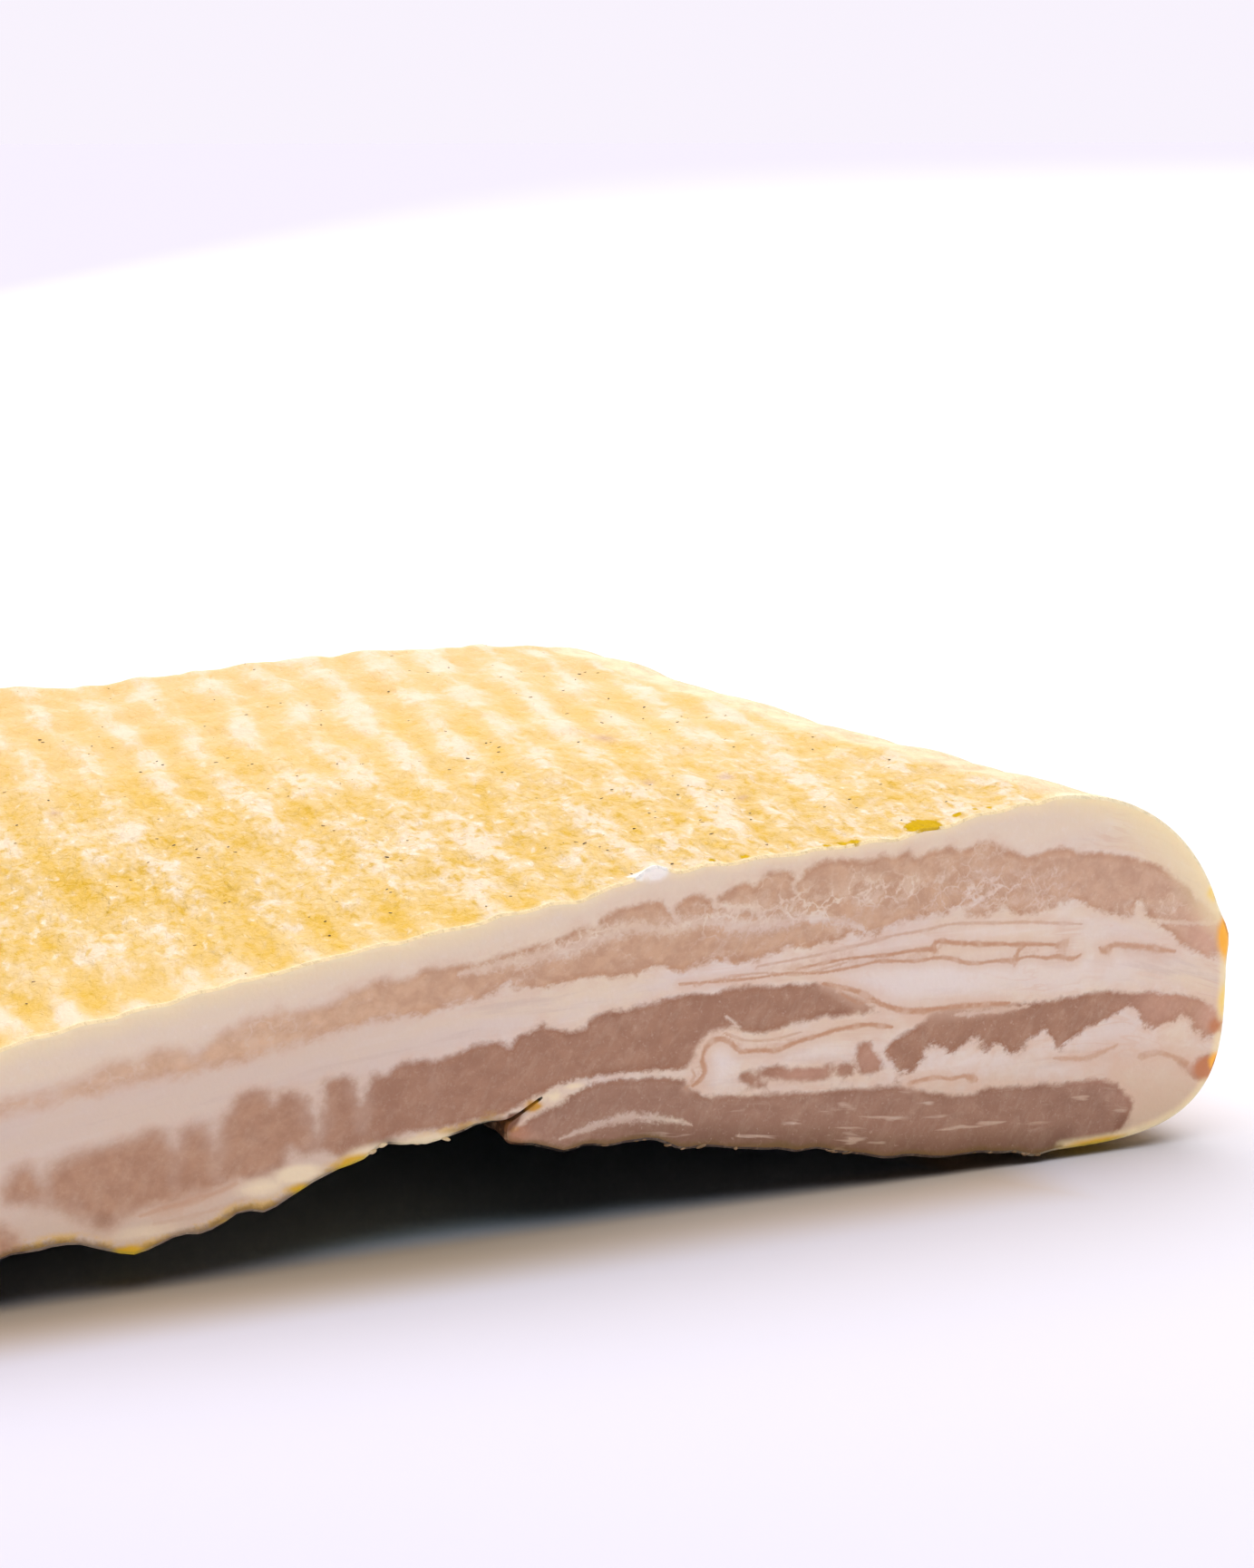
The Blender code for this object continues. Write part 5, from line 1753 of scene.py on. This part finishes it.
@dataclass(frozen=True)
class Trimmings:
    """What lies on the slab: dark specks on the rind, and crumbs along the underside's front edge."""

    form: SlabForm
    rind_step: float = 2.0
    rind_margin: float = 3.0
    cut_margin: float = 0.3
    fat_runs: tuple[Pair, ...] = ((1.0, 13.0),)
    meat_runs: tuple[Pair, ...] = ((30.0, 50.0), (58.0, 92.0))
    crumb_start: float = 0.1
    crumb_depth: float = 0.7
    crumb_lift: float = 0.2
    specks: Scatter = Scatter("specks", 0.032, (0.22, 0.16, 0.08), (0.75, 0.34, 0.16), 16.0, 7)
    fat_crumbs: Scatter = Scatter("fat_crumbs", 3.0, (0.9, 0.5, 0.35), (2.4, 1.0, 0.8), 6.0, 3)
    meat_crumbs: Scatter = Scatter("meat_crumbs", 2.2, (0.4, 0.4, 0.25), (1.6, 0.8, 0.5), 8.0, 11)

    def sheet(self, name: str, columns: Sequence[float], rows: Sequence[float], height: Any) -> bpy.types.Mesh:
        """A carrier surface over a grid of places in millimetres, where height(x, y) gives its height.

        Args:
            name: The mesh's name.
            columns: Places along X.
            rows: Places along Y.
            height: Function of x and y.

        Returns:
            The mesh.
        """
        mesh = bpy.data.meshes.new(name)
        points = [(x * MM, y * MM, height(x, y) * MM) for y in rows for x in columns]
        wide = len(columns)
        corners = (k * wide + i for k in range(len(rows) - 1) for i in range(wide - 1))
        faces = [(a, a + 1, a + wide + 1, a + wide) for a in corners]
        mesh.from_pydata(points, [], faces)
        return mesh

    def share(self, y: float) -> float:
        """Share of the way from the front cut to the back cut."""
        return y / self.form.depth + 0.5

    def build_specks(self) -> bpy.types.Object:
        """Dark specks over the rind.

        Returns:
            The new object.
        """
        form = self.form
        half = form.depth / 2 - self.cut_margin
        low, high = form.thin_shoulder[0] + self.rind_margin, form.thick_shoulder[1] + self.rind_margin
        columns = np.arange(low, high + form.thick_shoulder[0] - form.thick_shoulder[1], self.rind_step)
        rows = np.linspace(-half, half, round(2 * half / self.rind_step))

        def rind(x: float, y: float) -> float:
            """Height of the rind."""
            return form.rind_height(x, y, self.share(y))

        mesh = self.sheet("rind_carrier", columns, rows, rind)
        reach = [mix(form.thick_shoulder, self.share(v.co.y / MM)) * MM for v in mesh.vertices]
        shape = bmesh.new()
        shape.from_mesh(mesh)
        outside = [v for v, limit in zip(shape.verts, reach) if v.co.x > limit]
        bmesh.ops.delete(shape, geom=outside, context="VERTS")
        shape.to_mesh(mesh)
        shape.free()
        finish = PlainFinish("dark_speck", specular=0.3, first=(0.05, 0.03, 0.02), second=(0.30, 0.17, 0.07))
        return self.specks.build(mesh, finish.material())

    def build_crumbs(self, scatter: Scatter, runs: Sequence[Pair], finish: Finish) -> bpy.types.Object:
        """Crumbs along the front edge of the underside.

        Args:
            scatter: How they are strewn.
            runs: Stretches of the edge, as (start, stop) along X.
            finish: Their finish.

        Returns:
            The new object.
        """
        form = self.form
        front = -form.depth / 2 + self.crumb_start

        def under(x: float, y: float) -> float:
            """Height of the underside."""
            knots = ((form.lean_front, form.lean_back) if x < form.flap_tip_x
                     else (form.flap_front, form.flap_back))
            return form.underside(*knots, x, y, self.share(y)) + self.crumb_lift

        shape = bmesh.new()
        for start, stop in runs:
            columns = np.arange(start, stop, 1.0)
            part = self.sheet("crumb_run", columns, (front, front + self.crumb_depth), under)
            shape.from_mesh(part)
            bpy.data.meshes.remove(part)
        mesh = bpy.data.meshes.new("crumb_carrier")
        shape.to_mesh(mesh)
        shape.free()
        return scatter.build(mesh, finish.material())

    def build(self) -> list[bpy.types.Object]:
        """All the small pieces.

        Returns:
            The new objects.
        """
        fat = PlainFinish("fat_crumb", specular=0.4, subsurface=0.1, first=(0.66, 0.50, 0.30),
                          second=(0.50, 0.34, 0.16))
        meat = PlainFinish("meat_crumb", specular=0.4, first=(0.30, 0.19, 0.11), second=(0.17, 0.10, 0.04))
        return [self.build_specks(), self.build_crumbs(self.fat_crumbs, self.fat_runs, fat),
                self.build_crumbs(self.meat_crumbs, self.meat_runs, meat)]


@dataclass(frozen=True)
class Studio:
    """Floor, light and camera: the photo's view, 14 degrees down at the slab's front."""

    focal_px: float = 2881.0
    photo_width: int = 1383
    photo_height: int = 1729
    sensor: float = 36.0
    pitch: float = 14.0
    yaw: float = 19.8
    stand: Triple = (-65.33, -339.32, 127.03)
    floor_reach: float = 30000.0
    # Floor colours: darker and more lilac near the front as painted shade, white far away
    near_floor: Colour = (0.775, 0.74, 0.84)
    far_floor: Colour = (0.99, 0.985, 0.99)
    daylight: Colour = (0.97, 0.96, 1.0)
    lilac: Colour = (0.945, 0.895, 0.985)
    far_lilac: Colour = (0.829, 0.785, 0.864)
    # Painted warm shade on the floor round the slab's foot
    painted_warm_shade: Colour = (0.90, 0.78, 0.60)
    # Painted deeper shade on the floor at the left, under the arch
    painted_arch_shade: Colour = (0.85, 0.82, 0.74)
    # Painted bluish shade on the floor under the slab
    painted_under_slab_shade: Colour = (0.70, 0.92, 1.0)
    lilac_middle: float = 5900.0
    lilac_curve: float = 2200.0
    lilac_origin: float = 600.0
    ceiling: float = 2.95
    ceiling_tilt: float = 12.0
    surround: float = 0.012
    fill_strength: float = 1.25
    fill_elevation: float = 14.0
    fill_width: float = 50.0
    fill_turns: tuple[float, ...] = (-170.0, -80.0, 10.0, 100.0)

    def camera(self) -> bpy.types.Object:
        """Camera at the photo's place and lens.

        Returns:
            The camera.
        """
        data = bpy.data.cameras.new("camera")
        data.sensor_fit = "AUTO"
        data.sensor_width = self.sensor
        data.lens = self.focal_px * self.sensor / max(self.photo_width, self.photo_height)
        data.clip_start = 0.01
        data.clip_end = 100.0
        camera = placed("camera", data)
        turn = Matrix.Rotation(math.radians(-self.yaw), 4, "Z")
        tilt = Matrix.Rotation(math.radians(90 - self.pitch), 4, "X")
        camera.matrix_world = Matrix.Translation(Vector(self.stand) * MM) @ turn @ tilt
        bpy.context.scene.camera = camera
        return camera

    def table_colour(self, net: Net) -> Sock:
        """Nearly white with painted shade that darkens it towards the front, lilac in the distance, painted
        warm shade round the slab's foot that stands in for the slab's own warm light, deeper at the left under
        the arch, and painted bluish shade under the slab.

        Args:
            net: The floor's nodes.

        Returns:
            The colour.
        """
        east, north = net.spot("X"), net.spot("Y")
        turn = math.radians(self.yaw)
        away = north * math.cos(turn) + east * math.sin(turn)
        aside = east * math.cos(turn) - north * math.sin(turn)
        reach = net.math("MAXIMUM", aside + self.lilac_origin, 20.0) / 1000.0
        start = self.lilac_middle + self.lilac_curve * net.math("LOGARITHM", reach, math.e)
        distant = net.step(start / net.math("MAXIMUM", away, 100.0), 1.5, 0.45)
        beside = net.math("ABSOLUTE", east + 12.0) - 90.0
        before = net.math("ABSOLUTE", north) - 65.0
        outside = net.math("MAXIMUM", beside, before)
        # Mask of the painted warm shade in a band round the slab's foot
        painted_warm_shade = net.step(outside, 14.0, 2.0) * net.step(outside, -5.0, 0.0)
        return net.paint(self.near_floor, [
            # Painted shade: the floor is darker towards the front and white far away
            (net.step(north + 0.7 * east, -260.0, 200.0), self.far_floor),
            (distant, self.far_lilac),
            # Painted warm shade round the slab's foot
            (painted_warm_shade, self.painted_warm_shade, "MULTIPLY"),
            # Painted deeper shade at the left, under the arch
            (painted_warm_shade * net.step(east, 50.0, 5.0), self.painted_arch_shade, "MULTIPLY"),
            # Painted bluish shade under the slab
            (net.step(outside, 0.0, -7.0), self.painted_under_slab_shade, "MULTIPLY"),
        ])

    def floor(self) -> bpy.types.Object:
        """Pale table that runs out of sight.

        Returns:
            The new object.
        """
        mesh = bpy.data.meshes.new("floor")
        reach = self.floor_reach * MM
        corners = [(-reach, -reach, 0), (reach, -reach, 0), (reach, reach, 0), (-reach, reach, 0)]
        mesh.from_pydata(corners, [], [(0, 1, 2, 3)])
        material = bpy.data.materials.new("pale_table")
        net = Net.of(material)
        shader = net.add("ShaderNodeBsdfPrincipled", None, {"Base Color": self.table_colour(net),
                                                            "Roughness": 0.6, "Specular IOR Level": 0.0})
        net.add("ShaderNodeOutputMaterial", None, {"Surface": shader})
        mesh.materials.append(material)
        floor = placed("floor", mesh)
        return floor

    def world(self) -> None:
        """Weak light all round, bright overhead and leaning behind the slab, and lilac where the camera sees
        it.
        """
        world = bpy.data.worlds.new("studio")
        bpy.context.scene.world = world
        net = Net.of(world)
        direction = net.add("ShaderNodeTexCoord", None, None, "Generated")
        tilt = math.radians(self.ceiling_tilt)
        up = net.add("ShaderNodeVectorMath", {"operation": "DOT_PRODUCT"},
                     {0: direction, 1: (0.0, math.sin(tilt), math.cos(tilt))}, "Value")
        strength = self.surround + self.ceiling * net.step(up, 0.62, 0.92)
        light = net.add("ShaderNodeBackground", None, {"Color": (*self.daylight, 1.0), "Strength": strength})
        seen = net.add("ShaderNodeBackground", None, {"Color": (*self.lilac, 1.0), "Strength": 1.0})
        camera_ray = net.add("ShaderNodeLightPath", None, None, "Is Camera Ray")
        both = net.add("ShaderNodeMixShader", None, {0: camera_ray, 1: light, 2: seen})
        net.add("ShaderNodeOutputWorld", None, {"Surface": both})

    def fill(self, turn: float, lit: bpy.types.Collection) -> bpy.types.Object:
        """Soft low light on the slab alone, as from a card on one side.

        Args:
            turn: Compass direction it comes from in degrees, 0 behind the slab.
            lit: The pieces that it lights.

        Returns:
            The lamp.
        """
        data = bpy.data.lights.new("fill", "SUN")
        data.energy = self.fill_strength
        data.angle = math.radians(self.fill_width)
        lamp = placed("fill", data)
        high, side = math.radians(self.fill_elevation), math.radians(turn)
        source = Vector((math.sin(side) * math.cos(high), math.cos(side) * math.cos(high), math.sin(high)))
        lamp.rotation_euler = (-source).to_track_quat("-Z", "Y").to_euler()
        lamp.light_linking.receiver_collection = lit
        return lamp

    def build(self, pieces: Sequence[bpy.types.Object]) -> None:
        """Everything round the pieces, and plain colours in the picture.

        Args:
            pieces: The slab and all that lies on it.
        """
        self.camera()
        self.floor()
        self.world()
        lit = bpy.data.collections.new("lit_by_fill")
        for piece in pieces:
            lit.objects.link(piece)
        for turn in self.fill_turns:
            self.fill(turn, lit)
        view = bpy.context.scene.view_settings
        view.view_transform = "Standard"
        view.look = "None"


def main() -> None:
    """Builds the studio and the slab, and hands the slab to the frame."""
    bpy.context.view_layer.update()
    form = SlabForm()
    slab = Slab(form, Fineness()).build()
    pieces = [slab] + Trimmings(form).build()
    Studio().build(pieces)
    for piece in pieces:
        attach(piece, "root")
        log.info("%s: %d points, %d faces", piece.name, len(piece.data.vertices), len(piece.data.polygons))
    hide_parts(NODE)


if __name__ == "__main__":
    logging.basicConfig(level=logging.INFO)
    main()
